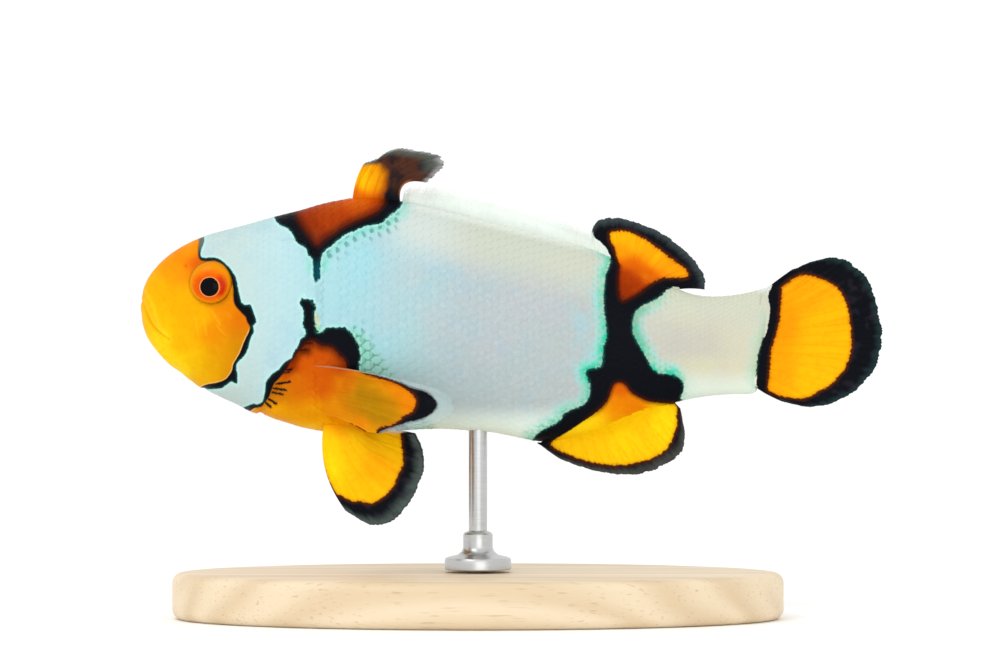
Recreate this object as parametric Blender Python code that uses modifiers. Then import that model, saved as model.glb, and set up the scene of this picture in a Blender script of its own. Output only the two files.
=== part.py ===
"""A life-size orange clownfish, platinum colour form, swimming on a small display stand.

Run it with: blender --background --python part.py

Units are metres, and +Z is up. The fish looks along -X and its left side faces -Y. The origin is
the middle of the stand's underside, straight below the rod. The flesh is one loft through a dozen
sections. Curved cuts part it into head, lower jaw, gill covers, trunk and tail stem. Each fin is a
fan of bony rays between a root curve and a tip curve.

Distances in the tables are in millimetres: the first from the snout towards the tail, the next ones
up from the snout's height, or out from the middle plane.
"""

import math

import bmesh
import bpy
from mathutils import Matrix, Vector

MM = 0.001
GAP = 0.3  # clear space between neighbouring solids, mm

# Where the fish hangs on its stand, mm.
ROD_DISTANCE = 36.5  # the rod stands this far behind the snout
SNOUT_HEIGHT = 33.5  # the snout is this high above the table

# The flesh, mm: distance behind the snout, back, belly, half width.
SECTIONS = [
    (0.0, 0.10, -0.10, 0.08),
    (0.3, 2.05, -2.15, 1.15),
    (1.1, 3.80, -3.85, 2.15),
    (3.2, 5.95, -6.25, 3.35),
    (6.5, 7.75, -8.55, 4.40),
    (10.8, 8.95, -10.60, 5.15),
    (17.3, 10.75, -12.90, 5.70),
    (24.0, 12.10, -13.60, 5.85),
    (31.5, 11.05, -13.05, 5.55),
    (38.9, 9.30, -13.60, 4.90),
    (43.8, 8.00, -14.50, 4.25),
    (50.0, 6.00, -13.05, 3.45),
    (56.0, 3.00, -10.75, 2.70),
    (60.5, 1.40, -9.65, 2.20),
    (65.0, 1.60, -9.30, 1.70),
    (68.6, 2.70, -9.70, 1.00),
]
RINGS = 36
SIDES = 24
FLANK_FULLNESS = 2.25  # exponent of the section's oval: 2 is an ellipse, more is a flatter flank
BACK_PINCH = 0.16  # how much narrower the back is than the belly

# Seams between the pieces of flesh, mm, as (distance, height) from the back down to the belly.
GILL_SEAM = [
    (16.0, 14.0),
    (18.2, 8.0),
    (19.1, 3.0),
    (19.0, -0.8),
    (17.4, -4.6),
    (15.0, -8.2),
    (12.6, -11.4),
    (11.6, -16.0),
]
CHEEK_SEAM = [(9.9, 4.6), (11.2, 1.0), (11.7, -2.0), (10.9, -5.0), (9.4, -7.8), (8.6, -9.0)]
STEM_SEAM = [(60.6, 8.0), (59.8, 1.0), (59.2, -4.0), (59.6, -9.0), (60.2, -16.0)]
TAIL_ROOT = [(68.3, 2.5), (66.5, -9.3)]  # the flesh ends at this slant, where the tail fin starts
GILL_COVER_DEPTH = 3.3  # the covers' inner face, out from the middle plane
BEYOND_FLANK = 12.0  # far enough out to clear the widest flank
MOUTH_CORNER = (3.1, -4.1)
MOUTH_TIP = (-1.0, 0.9)
JAW_HINGE = (5.6, -9.4)

# The eyes, mm.
EYE_PLACE = (8.0, 2.65)
EYE_OUT = 3.4
EYE_RADIUS = 2.3
EYE_DEPTH = 1.5
EYE_FORWARD_TURN = math.radians(6)
EYE_UPWARD_TURN = math.radians(8)

# Fins, mm. Thickness along a ray, and how much of it the web between two rays keeps.
RAY_THICKNESS = 0.8
WEB_SHARE = 0.68
FIN_ROWS = 5

# The stand, mm.
BASE_LENGTH = 66.0
BASE_WIDTH = 38.0
BASE_HEIGHT = 5.0
BASE_EDGE = 1.2
ROD_RADIUS = 1.0
ROD_INTO_BELLY = 3.0
HOLE_DEPTH = 12.0  # the drill that makes the belly hole is this long
FOOT_RADIUS = 3.6
FOOT_HEIGHT = 1.4

PEARL = (0.62, 0.72, 0.74, 1.0)
ORANGE = (0.85, 0.33, 0.02, 1.0)
FIN_ORANGE = (0.93, 0.45, 0.02, 1.0)
BLACK = (0.01, 0.012, 0.02, 1.0)
OAK = (0.55, 0.38, 0.22, 1.0)
STEEL = (0.62, 0.62, 0.60, 1.0)


# ---------------------------------------------------------------- helpers


def place(distance, out, height):
    """A point of the fish, given in mm, as a point of the model in metres."""
    return Vector(((distance - ROD_DISTANCE) * MM, out * MM, (height + SNOUT_HEIGHT) * MM))


def along(points, share):
    """A point on the smooth curve through the points, from share 0 at the first to 1 at the last."""
    last = len(points) - 1
    step = min(int(share * last), last - 1)
    t = share * last - step
    before, start, end, after = (points[min(max(step + k, 0), last)] for k in (-1, 0, 1, 2))
    return tuple(
        0.5 * (2 * b + (c - a) * t + (2 * a - 5 * b + 4 * c - d) * t**2 + (3 * b - a - 3 * c + d) * t**3)
        for a, b, c, d in zip(before, start, end, after)
    )


def sampled(points, count):
    return [along(points, i / (count - 1)) for i in range(count)]


def shifted(line, by):
    """A line of (distance, height) points moved sideways: towards the tail where by is positive."""
    moved = []
    for i, (x, z) in enumerate(line):
        ahead, behind = line[min(i + 1, len(line) - 1)], line[max(i - 1, 0)]
        dx, dz = ahead[0] - behind[0], ahead[1] - behind[1]
        length = math.hypot(dx, dz)
        moved.append((x - dz / length * by, z + dx / length * by))
    return moved


def material(name, colour, roughness, metallic=0.0):
    made = bpy.data.materials.new(name)
    made.use_nodes = True
    shader = made.node_tree.nodes["Principled BSDF"]
    shader.inputs["Base Color"].default_value = colour
    shader.inputs["Roughness"].default_value = roughness
    shader.inputs["Metallic"].default_value = metallic
    made.diffuse_color = colour
    return made


def new_object(name, mesh, collection):
    made = bpy.data.objects.new(name, mesh)
    collection.objects.link(made)
    return made


def cutter(name, mesh):
    """A helper that shapes a part and isn't one itself."""
    made = new_object(name, mesh, CUTTERS)
    made.hide_render = True
    made.display_type = "WIRE"
    return made


def cut(obj, tool, operation="DIFFERENCE"):
    modifier = obj.modifiers.new(f"{operation.lower()} {tool.name}", "BOOLEAN")
    modifier.operation = operation
    modifier.object = tool
    modifier.solver = "EXACT"


def slab(name, outline, near=-20.0, far=20.0):
    """An outline of (distance, height) points, swept straight across the fish from near to far."""
    curve = bpy.data.curves.new(name, "CURVE")
    curve.dimensions = "2D"
    curve.fill_mode = "BOTH"
    curve.extrude = (far - near) / 2 * MM
    spline = curve.splines.new("POLY")
    spline.points.add(len(outline) - 1)
    for point, (x, z) in zip(spline.points, outline):
        point.co = (x * MM, z * MM, 0.0, 1.0)
    spline.use_cyclic_u = True
    flat = bpy.data.objects.new(name + " outline", curve)
    CUTTERS.objects.link(flat)
    flat.location = place(0.0, (near + far) / 2, 0.0)
    flat.rotation_euler = (math.pi / 2, 0.0, 0.0)
    bpy.context.view_layer.update()
    graph = bpy.context.evaluated_depsgraph_get()
    mesh = bpy.data.meshes.new_from_object(flat.evaluated_get(graph))
    weld(mesh)
    made = cutter(name, mesh)
    made.matrix_world = flat.matrix_world.copy()
    bpy.data.objects.remove(flat)
    return made


def weld(mesh):
    work = bmesh.new()
    work.from_mesh(mesh)
    bmesh.ops.remove_doubles(work, verts=work.verts, dist=1e-6)
    bmesh.ops.recalc_face_normals(work, faces=work.faces)
    work.to_mesh(mesh)
    work.free()


# ---------------------------------------------------------------- the flesh


def section_ring(share, grow):
    """The points round one section of the flesh, the whole of it thickened by grow mm."""
    distance, back, belly, half_width = along(SECTIONS, share)
    back, belly, half_width = back + grow, belly - grow, half_width + grow
    distance += grow * (2 * share - 1)
    middle, half_height = (back + belly) / 2, (back - belly) / 2
    points = []
    for side in range(SIDES):
        angle = 2 * math.pi * side / SIDES
        across, up = math.sin(angle), math.cos(angle)
        oval = (abs(across) ** FLANK_FULLNESS + abs(up) ** FLANK_FULLNESS) ** (-1 / FLANK_FULLNESS)
        pinch = 1 - BACK_PINCH * max(up, 0.0) ** 2
        out = half_width * oval * across * pinch
        points.append(place(distance, out, middle + half_height * oval * up))
    return points


def flesh_mesh(name, grow=0.0):
    """The whole body without its fins: a loft through unlike sections, sliced off at the tail's root."""
    work = bmesh.new()
    rings = []
    for ring in range(RINGS):
        rings.append([work.verts.new(point) for point in section_ring(ring / (RINGS - 1), grow)])
    for front, rear in zip(rings, rings[1:]):
        for side in range(SIDES):
            after = (side + 1) % SIDES
            work.faces.new((front[side], front[after], rear[after], rear[side]))
    work.faces.new(rings[0][::-1])
    (top_distance, top), (low_distance, low) = TAIL_ROOT
    slant = Vector((top - low, 0.0, low_distance - top_distance)).normalized()
    end = place(top_distance + grow, 0.0, top)
    everything = work.verts[:] + work.edges[:] + work.faces[:]
    sliced = bmesh.ops.bisect_plane(work, geom=everything, plane_co=end, plane_no=slant, clear_outer=True)
    rim = [item for item in sliced["geom_cut"] if isinstance(item, bmesh.types.BMEdge)]
    bmesh.ops.edgeloop_fill(work, edges=rim)
    bmesh.ops.recalc_face_normals(work, faces=work.faces)
    mesh = bpy.data.meshes.new(name)
    work.to_mesh(mesh)
    work.free()
    return mesh


def flesh_piece(name, finish, region):
    """The part of the flesh inside a slab."""
    made = new_object(name, flesh_mesh(name), FISH)
    made.data.materials.append(finish)
    cut(made, region, "INTERSECT")
    return made


def between(name, front, rear):
    """The slab from one seam back to another, half a gap inside each."""
    front_edge = shifted(sampled(front, 12), GAP / 2)
    rear_edge = shifted(sampled(rear, 12), -GAP / 2)
    return slab(name, front_edge + rear_edge[::-1])


def widened(outline, by):
    """A closed outline with every edge moved outwards by mm, or inwards where it is negative."""
    pairs = list(zip(outline, outline[1:] + outline[:1]))
    turn = math.copysign(1.0, sum(a[0] * b[1] - b[0] * a[1] for a, b in pairs))
    moved = []
    for i, (x, z) in enumerate(outline):
        into = Vector((x - outline[i - 1][0], z - outline[i - 1][1])).normalized()
        onward = Vector(pairs[i][1]) - Vector(pairs[i][0])
        onward.normalize()
        normal = (into + onward).normalized()
        reach = by / max(normal.dot(onward), 0.5) * turn
        moved.append((x + normal.y * reach, z - normal.x * reach))
    return moved


def gill_cover_outline():
    """The cheek seam, the throat, then the gill seam back up to the shoulder."""
    throat, shoulder = GILL_SEAM[-2], GILL_SEAM[1]
    rear = [point for point in sampled(GILL_SEAM, 25) if throat[1] - 0.5 < point[1] < shoulder[1] - 1.5]
    return sampled(CHEEK_SEAM, 10) + [(throat[0] - 1.6, throat[1] + 0.4)] + rear[::-1]


def lower_jaw_outline():
    """The wedge under the mouth's slit, from the lips back to the jaw's hinge in the throat."""
    below = JAW_HINGE[1] - 4.0
    return [MOUTH_TIP, MOUTH_CORNER, JAW_HINGE, (JAW_HINGE[0] - 2.0, below), (MOUTH_TIP[0], below)]


def eye_mesh(name, grow=0.0):
    """A lens-shaped eyeball, flattened from side to side."""
    work = bmesh.new()
    bmesh.ops.create_uvsphere(work, u_segments=20, v_segments=10, radius=1.0)
    across, deep = (EYE_RADIUS + grow) * MM, (EYE_DEPTH + grow) * MM
    bmesh.ops.scale(work, vec=(across, across, deep), verts=work.verts)
    mesh = bpy.data.meshes.new(name)
    work.to_mesh(mesh)
    work.free()
    return mesh


def set_in_socket(eyeball, side):
    """Turns the eyeball's pole outwards, a little forwards and up, and puts it in its place.

    side is -1 for the left eye and 1 for the right one.
    """
    forward = Matrix.Rotation(side * EYE_FORWARD_TURN, 4, "Z")
    upward = Matrix.Rotation(side * EYE_UPWARD_TURN, 4, "X")
    face_out = Matrix.Rotation(-side * math.pi / 2, 4, "X")
    centre = Matrix.Translation(place(EYE_PLACE[0], side * EYE_OUT, EYE_PLACE[1]))
    eyeball.matrix_world = centre @ forward @ upward @ face_out


def make_flesh():
    far_front, far_rear = [(-8.0, 20.0), (-8.0, -20.0)], [(78.0, 20.0), (78.0, -20.0)]
    pearl = material("pearl skin", PEARL, 0.35)
    orange = material("orange skin", ORANGE, 0.35)
    head = flesh_piece("head", orange, between("head region", far_front, GILL_SEAM))
    trunk = flesh_piece("trunk", pearl, between("trunk region", GILL_SEAM, STEM_SEAM))
    flesh_piece("tail_stem", pearl, between("stem region", STEM_SEAM, far_rear))
    flesh_piece("lower_jaw", orange, slab("jaw region", widened(lower_jaw_outline(), -GAP / 2)))
    cut(head, slab("jaw clearance", widened(lower_jaw_outline(), GAP / 2)))
    for side, name in ((-1, "left"), (1, "right")):
        edges = sorted((side * GILL_COVER_DEPTH, side * BEYOND_FLANK))
        cover = slab(f"gill region {name}", widened(gill_cover_outline(), -GAP / 2), *edges)
        flesh_piece("gill_cover_" + name, pearl, cover)
        edges = sorted((side * (GILL_COVER_DEPTH - GAP), side * BEYOND_FLANK))
        cut(head, slab(f"gill clearance {name}", widened(gill_cover_outline(), GAP / 2), *edges))
        socket = cutter(f"socket {name}", eye_mesh(f"socket {name}", GAP))
        set_in_socket(socket, side)
        cut(head, socket)
    cut(trunk, rod_clearance())
    return trunk


def make_eyes():
    black = material("eye", BLACK, 0.08)
    for side, name in ((-1, "left"), (1, "right")):
        eyeball = new_object("eye_" + name, eye_mesh("eye_" + name), FISH)
        eyeball.data.materials.append(black)
        eyeball.data.shade_smooth()
        set_in_socket(eyeball, side)


# ---------------------------------------------------------------- the fins


def mirrored(points):
    return [(x, -y, z) for x, y, z in points]


def fin(name, roots, knees, tips, rays, finish, body):
    """A fan of rays, each from the root curve towards the knee curve and over to the tip curve."""
    columns = 2 * rays + 1
    work = bmesh.new()
    bmesh.ops.create_grid(work, x_segments=columns - 1, y_segments=FIN_ROWS, size=0.5)
    work.verts.ensure_lookup_table()
    weights = []
    for vert in work.verts:
        spread, reach = vert.co.x + 0.5, vert.co.y + 0.5
        root, knee, tip = (Vector(along(curve, spread)) for curve in (roots, knees, tips))
        vert.co = place(*(root * (1 - reach) ** 2 + knee * 2 * reach * (1 - reach) + tip * reach**2))
        on_ray = round(spread * (columns - 1)) % 2 == 1
        weights.append(1.0 if on_ray else WEB_SHARE)
    mesh = bpy.data.meshes.new(name)
    work.to_mesh(mesh)
    work.free()
    made = new_object(name, mesh, FISH)
    made.data.materials.append(finish)
    group = made.vertex_groups.new(name="thickness")
    for index, weight in enumerate(weights):
        group.add([index], weight, "REPLACE")
    thicken = made.modifiers.new("thickness", "SOLIDIFY")
    thicken.thickness = RAY_THICKNESS * MM
    thicken.offset = 0.0
    thicken.vertex_group = group.name
    thicken.use_even_offset = False
    cut(made, body)
    return made


def make_fins():
    orange = material("fin orange", FIN_ORANGE, 0.4)
    pearl = material("fin pearl", PEARL, 0.4)
    body = cutter("flesh clearance", flesh_mesh("flesh clearance", GAP))

    # The first spines stand up and curl backwards over the fish's left shoulder.
    fin(
        "dorsal_fin_front",
        [(22.9, 0.0, 11.2), (27.6, 0.0, 10.6)],
        [(22.8, 0.1, 14.6), (26.2, 0.2, 15.6), (28.1, -0.2, 14.4)],
        [
            (24.1, 0.4, 15.7),
            (26.8, 0.0, 16.7),
            (29.6, -0.8, 16.9),
            (33.0, -2.0, 16.2),
            (31.6, -2.3, 13.9),
        ],
        4,
        orange,
        body,
    )
    # The rest of the spiny part is folded down to a low pearly frill.
    fin(
        "dorsal_fin_middle",
        [(28.9, 0.0, 10.4), (39.0, 0.0, 8.4), (48.9, 0.0, 5.4)],
        [(29.4, 0.3, 12.2), (39.8, -0.3, 10.6), (48.6, 0.1, 7.4)],
        [
            (30.2, 0.5, 12.9),
            (33.5, 0.2, 13.5),
            (37.4, -0.4, 12.8),
            (41.3, 0.1, 11.1),
            (45.0, 0.3, 9.8),
            (48.3, 0.0, 8.7),
        ],
        7,
        pearl,
        body,
    )
    fin(
        "dorsal_fin_rear",
        [(50.2, 0.0, 5.0), (53.6, 0.0, 3.4), (56.8, 0.0, 1.7)],
        [(49.9, 0.0, 7.2), (54.2, 0.2, 6.4), (58.6, 0.0, 2.4)],
        [
            (49.0, 0.0, 8.7),
            (51.1, 0.1, 9.75),
            (55.2, 0.3, 8.9),
            (58.6, 0.2, 6.8),
            (60.8, 0.1, 4.3),
            (61.1, 0.0, 1.9),
        ],
        12,
        orange,
        body,
    )
    fin(
        "anal_fin",
        [(43.6, 0.0, -13.4), (50.4, 0.0, -11.8), (57.0, 0.0, -9.4)],
        [(43.6, 0.0, -14.8), (50.6, 0.2, -15.0), (58.0, 0.0, -10.4)],
        [
            (43.2, 0.0, -14.9),
            (46.4, 0.1, -16.8),
            (51.0, 0.3, -17.9),
            (55.6, 0.3, -17.6),
            (58.8, 0.2, -15.4),
            (59.0, 0.0, -11.0),
        ],
        11,
        orange,
        body,
    )
    fin(
        "tail_fin",
        [(67.2, 0.0, 1.4), (65.6, 0.0, -3.2), (65.2, 0.0, -8.6)],
        [(69.2, 0.0, 3.4), (73.5, 0.3, -2.8), (68.6, 0.0, -10.6)],
        [
            (70.6, 0.0, 4.3),
            (73.8, 0.1, 5.6),
            (77.2, 0.4, 5.2),
            (79.7, 0.6, 2.0),
            (80.6, 0.7, -2.4),
            (79.8, 0.6, -6.6),
            (76.8, 0.4, -9.7),
            (72.6, 0.1, -10.65),
            (69.2, 0.0, -10.0),
        ],
        12,
        orange,
        body,
    )
    pectoral = (
        [(18.4, -4.9, -6.1), (19.4, -4.6, -8.7), (20.7, -3.5, -11.2)],
        [(24.3, -6.9, -7.0), (26.4, -7.0, -9.4), (22.8, -5.1, -12.2)],
        [
            (31.6, -10.4, -8.8),
            (34.2, -11.8, -9.8),
            (34.2, -12.0, -11.4),
            (31.2, -10.6, -12.7),
            (27.8, -8.8, -13.4),
            (24.6, -6.6, -13.2),
        ],
        10,
    )
    pelvic = (
        [(20.0, -1.6, -12.6), (21.4, -1.7, -12.8), (22.8, -1.5, -12.9)],
        [(19.0, -2.9, -17.4), (23.8, -3.6, -17.6), (26.4, -3.0, -14.0)],
        [
            (22.7, -4.6, -21.9),
            (25.7, -5.4, -23.1),
            (28.8, -5.9, -21.8),
            (30.5, -5.6, -18.6),
            (30.2, -4.6, -14.4),
        ],
        6,
    )
    for name, (roots, knees, tips, rays) in (("pectoral", pectoral), ("pelvic", pelvic)):
        fin(name + "_fin_left", roots, knees, tips, rays, orange, body)
        fin(name + "_fin_right", *map(mirrored, (roots, knees, tips)), rays, orange, body)


# ---------------------------------------------------------------- the stand


def belly_height():
    """How high the belly is above the table where the rod meets it, mm."""
    steps = (along(SECTIONS, step / 400) for step in range(401))
    return SNOUT_HEIGHT + min(steps, key=lambda section: abs(section[0] - ROD_DISTANCE))[2]


def turned(name, profile, steps):
    """A round piece from its profile of (radius, height) points, mm, listed from the top down."""
    mesh = bpy.data.meshes.new(name)
    mesh.from_pydata(
        [(radius * MM, 0.0, height * MM) for radius, height in profile],
        [(i, i + 1) for i in range(len(profile) - 1)],
        [],
    )
    made = bpy.data.objects.new(name, mesh)
    spin = made.modifiers.new("turn", "SCREW")
    spin.steps = spin.render_steps = steps
    spin.use_merge_vertices = True
    spin.merge_threshold = 1e-5
    return made


def rod_clearance():
    """The hole in the belly that takes the rod's top."""
    radius = (ROD_RADIUS + GAP) * MM
    top = belly_height() + ROD_INTO_BELLY + GAP
    work = bmesh.new()
    bmesh.ops.create_cone(
        work, cap_ends=True, segments=24, radius1=radius, radius2=radius, depth=HOLE_DEPTH * MM
    )
    bmesh.ops.translate(work, verts=work.verts, vec=(0, 0, (top - HOLE_DEPTH / 2) * MM))
    mesh = bpy.data.meshes.new("rod clearance")
    work.to_mesh(mesh)
    work.free()
    return cutter("rod clearance", mesh)


def make_stand():
    oak = material("stand wood", OAK, 0.5)
    steel = material("stand steel", STEEL, 0.3, 1.0)

    bpy.ops.mesh.primitive_cylinder_add(vertices=56, radius=0.5, depth=1.0)
    base = bpy.context.object
    base.name = base.data.name = "stand_base"
    base.scale = (BASE_LENGTH * MM, BASE_WIDTH * MM, BASE_HEIGHT * MM)
    base.location = (0.0, 0.0, BASE_HEIGHT / 2 * MM)
    bpy.ops.object.transform_apply(location=True, scale=True)
    edge = base.modifiers.new("rounded edge", "BEVEL")
    edge.width = BASE_EDGE * MM
    edge.segments = 2
    base.data.materials.append(oak)

    foot, top = BASE_HEIGHT + GAP, belly_height() + ROD_INTO_BELLY
    profile = [
        (0.0, top),
        (ROD_RADIUS - 0.2, top),
        (ROD_RADIUS, top - 0.2),
        (ROD_RADIUS, foot + FOOT_HEIGHT + 0.8),
        (ROD_RADIUS + 0.3, foot + FOOT_HEIGHT + 0.2),
        (FOOT_RADIUS - 0.4, foot + FOOT_HEIGHT),
        (FOOT_RADIUS, foot + FOOT_HEIGHT - 0.4),
        (FOOT_RADIUS, foot),
        (0.0, foot),
    ]
    rod = turned("stand_rod", profile, 32)
    rod.data.materials.append(steel)
    for piece in (base, rod):
        for owner in piece.users_collection:
            owner.objects.unlink(piece)
        FISH.objects.link(piece)


for old in list(bpy.data.objects):
    bpy.data.objects.remove(old)
FISH = bpy.data.collections.new("clownfish on stand")
CUTTERS = bpy.data.collections.new("cutters")
for group in (FISH, CUTTERS):
    bpy.context.scene.collection.children.link(group)

make_flesh()
make_eyes()
make_fins()
make_stand()
for part in FISH.objects:
    if part.name.startswith(("head", "lower", "gill", "trunk", "tail_stem", "stand")):
        part.data.shade_smooth()
        part.data.set_sharp_from_angle(angle=math.radians(40))
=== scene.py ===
# %% [markdown]
# # A platinum clownfish on a display stand
#
# The fish hangs over its base on one rod, as a museum shows such a model. The frame that is loaded
# first holds plain solids: head, jaw, gill covers, trunk, tail stem, fins, eyes and stand. They
# say where everything is and how big. This lesson dresses them with one smooth skin, some 4,600
# scales, ribbed fins, eyes, and markings that run on from skin to scale to fin.

# %% Load the frame
import math

import bpy
import numpy as np
from mathutils import Matrix, Vector
from mathutils.bvhtree import BVHTree


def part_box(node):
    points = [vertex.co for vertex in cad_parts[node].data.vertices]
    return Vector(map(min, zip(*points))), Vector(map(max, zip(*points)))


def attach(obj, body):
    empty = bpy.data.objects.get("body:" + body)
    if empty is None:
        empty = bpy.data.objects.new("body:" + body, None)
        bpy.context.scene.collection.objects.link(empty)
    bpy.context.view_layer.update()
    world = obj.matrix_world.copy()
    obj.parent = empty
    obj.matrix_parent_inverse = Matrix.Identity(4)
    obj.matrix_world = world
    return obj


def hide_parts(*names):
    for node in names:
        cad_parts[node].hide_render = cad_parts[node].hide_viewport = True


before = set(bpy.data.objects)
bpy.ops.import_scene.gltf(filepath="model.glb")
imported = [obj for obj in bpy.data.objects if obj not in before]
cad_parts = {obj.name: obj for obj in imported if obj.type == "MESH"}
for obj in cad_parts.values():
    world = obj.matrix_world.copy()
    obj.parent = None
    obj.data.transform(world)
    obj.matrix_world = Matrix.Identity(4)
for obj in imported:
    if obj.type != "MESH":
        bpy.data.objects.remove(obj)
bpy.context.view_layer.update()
print("nodes:", ", ".join(sorted(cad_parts)))

# %% [markdown]
# ## Measures of a fish
#
# A fish is easiest to describe from its snout: so far behind it, so far out from the middle plane,
# so far above it, all in millimetres. Blender's own metres would do too, but nobody measures a fish
# from the floor. Two helpers turn such places into metres and back. The snout's place comes from the
# frame: it is the foremost point of the head, and the eye's middle is a little higher.
#
# The markings are laid out on the side view, as an eye sees it that looks at the fish square on
# from not very far: whatever stands out towards that eye seems a little larger. side_view() allows
# for it, so that an outline keeps its shape over the round flank and across to a spread fin.

# %% Fish measures and the scene's metres
MM = 0.001
EYE_ABOVE_SNOUT = 2.65  # mm
eye_middle = sum(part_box("eye_left"), Vector()) / 2
SNOUT = np.array((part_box("head")[0][0], 0.0, eye_middle[2] - EYE_ABOVE_SNOUT * MM))


def to_fish(points):
    """Places in metres as (behind the snout, out, above the snout) in millimetres."""
    return (np.asarray(points, float) - SNOUT) / MM


def to_scene(points):
    return np.asarray(points, float) * MM + SNOUT


VIEW_FROM = 450.0  # from how far the side is looked at, mm
VIEW_MIDDLE = np.array((38.88, -2.72))  # the place that is looked at square on, mm


def side_view(fish):
    """Where places of the fish are in its side view: the nearer ones spread from the view's middle."""
    spread = VIEW_FROM / (VIEW_FROM - np.abs(fish[:, 1:2]))
    return VIEW_MIDDLE + (fish[:, (0, 2)] - VIEW_MIDDLE) * spread


EYE_BEHIND, EYE_OUT, EYE_ABOVE = to_fish(eye_middle)
EYE_SIDE = side_view(np.array([[EYE_BEHIND, EYE_OUT, EYE_ABOVE]]))[0]
EYE_OUT = abs(EYE_OUT)
eye_text = ", ".join(f"{float(value):.2f}" for value in (EYE_BEHIND, EYE_OUT, EYE_ABOVE))
print("each eye is so far behind the snout, out and above it, mm:", eye_text)

# %% [markdown]
# ## Lines and distances
#
# The same few sums come back all the time: a smooth line through a few points, a soft step from
# 0 to 1, a hill that is 1 in its middle, and how far a place lies from a line or inside an outline.
# A loop over the points would be plainer, but these work on whole arrays of places at once, which
# keeps a mesh of a hundred thousand points quick.

# %% Smooth lines, soft steps and distances
def along(points, shares):
    """Places on the smooth line through points, at shares from 0 at the first to 1 at the last."""
    points = np.asarray(points, float)
    last = len(points) - 1
    place = np.clip(np.asarray(shares, float), 0, 1) * last
    step = np.minimum(place.astype(int), last - 1)
    t = (place - step)[..., None]
    a, b, c, d = (points[np.clip(step + k, 0, last)] for k in (-1, 0, 1, 2))
    return 0.5 * (2 * b + (c - a) * t + (2 * a - 5 * b + 4 * c - d) * t**2 + (3 * b - a - 3 * c + d) * t**3)


def ease(value, low, high):
    """0 below low, 1 above high, and a soft slope between them."""
    share = np.clip((value - low) / (high - low), 0, 1)
    return share * share * (3 - 2 * share)


def hill(distance, width):
    """1 at no distance, falling off softly on either side."""
    return np.exp(-((distance / width) ** 2))


def distance_to(places, line):
    """How far each place is from a line of points, in the plane of the fish's side."""
    line = np.asarray(line, float)
    nearest = np.full(len(places), 1e9)
    for start, end in zip(line, line[1:]):
        step = end - start
        share = np.clip(((places - start) @ step) / max(step @ step, 1e-12), 0, 1)
        nearest = np.minimum(nearest, np.linalg.norm(places - start - share[:, None] * step, axis=1))
    return nearest


def depth_inside(places, outline):
    """How deep each place lies in a closed outline: more than 0 inside it, less than 0 outside."""
    closed = np.vstack((outline, outline[:1]))
    inside = np.zeros(len(places), bool)
    for (x1, z1), (x2, z2) in zip(closed, closed[1:]):
        crosses = (z1 > places[:, 1]) != (z2 > places[:, 1])
        edge = x1 + (places[:, 1] - z1) * (x2 - x1) / (z2 - z1 if z2 != z1 else 1.0)
        inside ^= crosses & (places[:, 0] < edge)
    return np.where(inside, 1, -1) * distance_to(places, closed)


def smooth_line(points):
    """The same line as a list of places, six for each of its points."""
    return along(points, np.linspace(0, 1, (len(points) - 1) * 6 + 1))


def run_of(line):
    """How far along a line of places each one is."""
    return np.concatenate(([0], np.cumsum(np.linalg.norm(np.diff(line, axis=0), axis=1))))


# %% [markdown]
# ## Tools for pieces
#
# Blender's operators act on whatever is selected, so every step first selects its own piece and
# nothing else. Points are moved all together as one array, since the form of an animal follows
# from measures and not from pulling at single points. A number stored on each point is how the
# shape tells its material where on the fish it is.

# %% Selecting, reading and moving points
def select_only(*objects):
    bpy.ops.object.select_all(action="DESELECT")
    for obj in objects:
        obj.select_set(True)
    bpy.context.view_layer.objects.active = objects[0]


def apply_modifiers(obj):
    select_only(obj)
    for modifier in list(obj.modifiers):
        bpy.ops.object.modifier_apply(modifier=modifier.name)


def points_of(obj):
    places = np.empty(len(obj.data.vertices) * 3)
    obj.data.vertices.foreach_get("co", places)
    return places.reshape(-1, 3)


def move_points(obj, places):
    obj.data.vertices.foreach_set("co", np.asarray(places, float).ravel())
    obj.data.update()


def keep_values(obj, name, values):
    """Stores one number per point, for the material to read."""
    attribute = obj.data.attributes.new(name, "FLOAT", "POINT")
    attribute.data.foreach_set("value", np.asarray(values, float))


def fix_normals(obj):
    select_only(obj)
    bpy.ops.object.mode_set(mode="EDIT")
    bpy.ops.mesh.select_all(action="SELECT")
    bpy.ops.mesh.normals_make_consistent(inside=False)
    bpy.ops.object.mode_set(mode="OBJECT")


def named(name):
    """Names the piece that was just added and returns it."""
    obj = bpy.context.object
    obj.name = obj.data.name = name
    return obj


def into_scene(name, data):
    obj = bpy.data.objects.new(name, data)
    bpy.context.scene.collection.objects.link(obj)
    return obj


# %% [markdown]
# ## The body as one form
#
# The frame's flesh is cut into six solids with thin gaps between them, and its loft has flat facets.
# A living fish has one smooth skin over all of it. Joining the six by Boolean operations would leave
# the gaps open. So copies of them are swollen a little until they touch, remeshed to one body, and
# shrunk back by as much.

# %% One closed body from the frame's flesh
FLESH = ["head", "lower_jaw", "gill_cover_left", "gill_cover_right", "trunk", "tail_stem"]
SWELL = 0.2 * MM  # more than half a gap
VOXEL = 0.25 * MM


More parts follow.
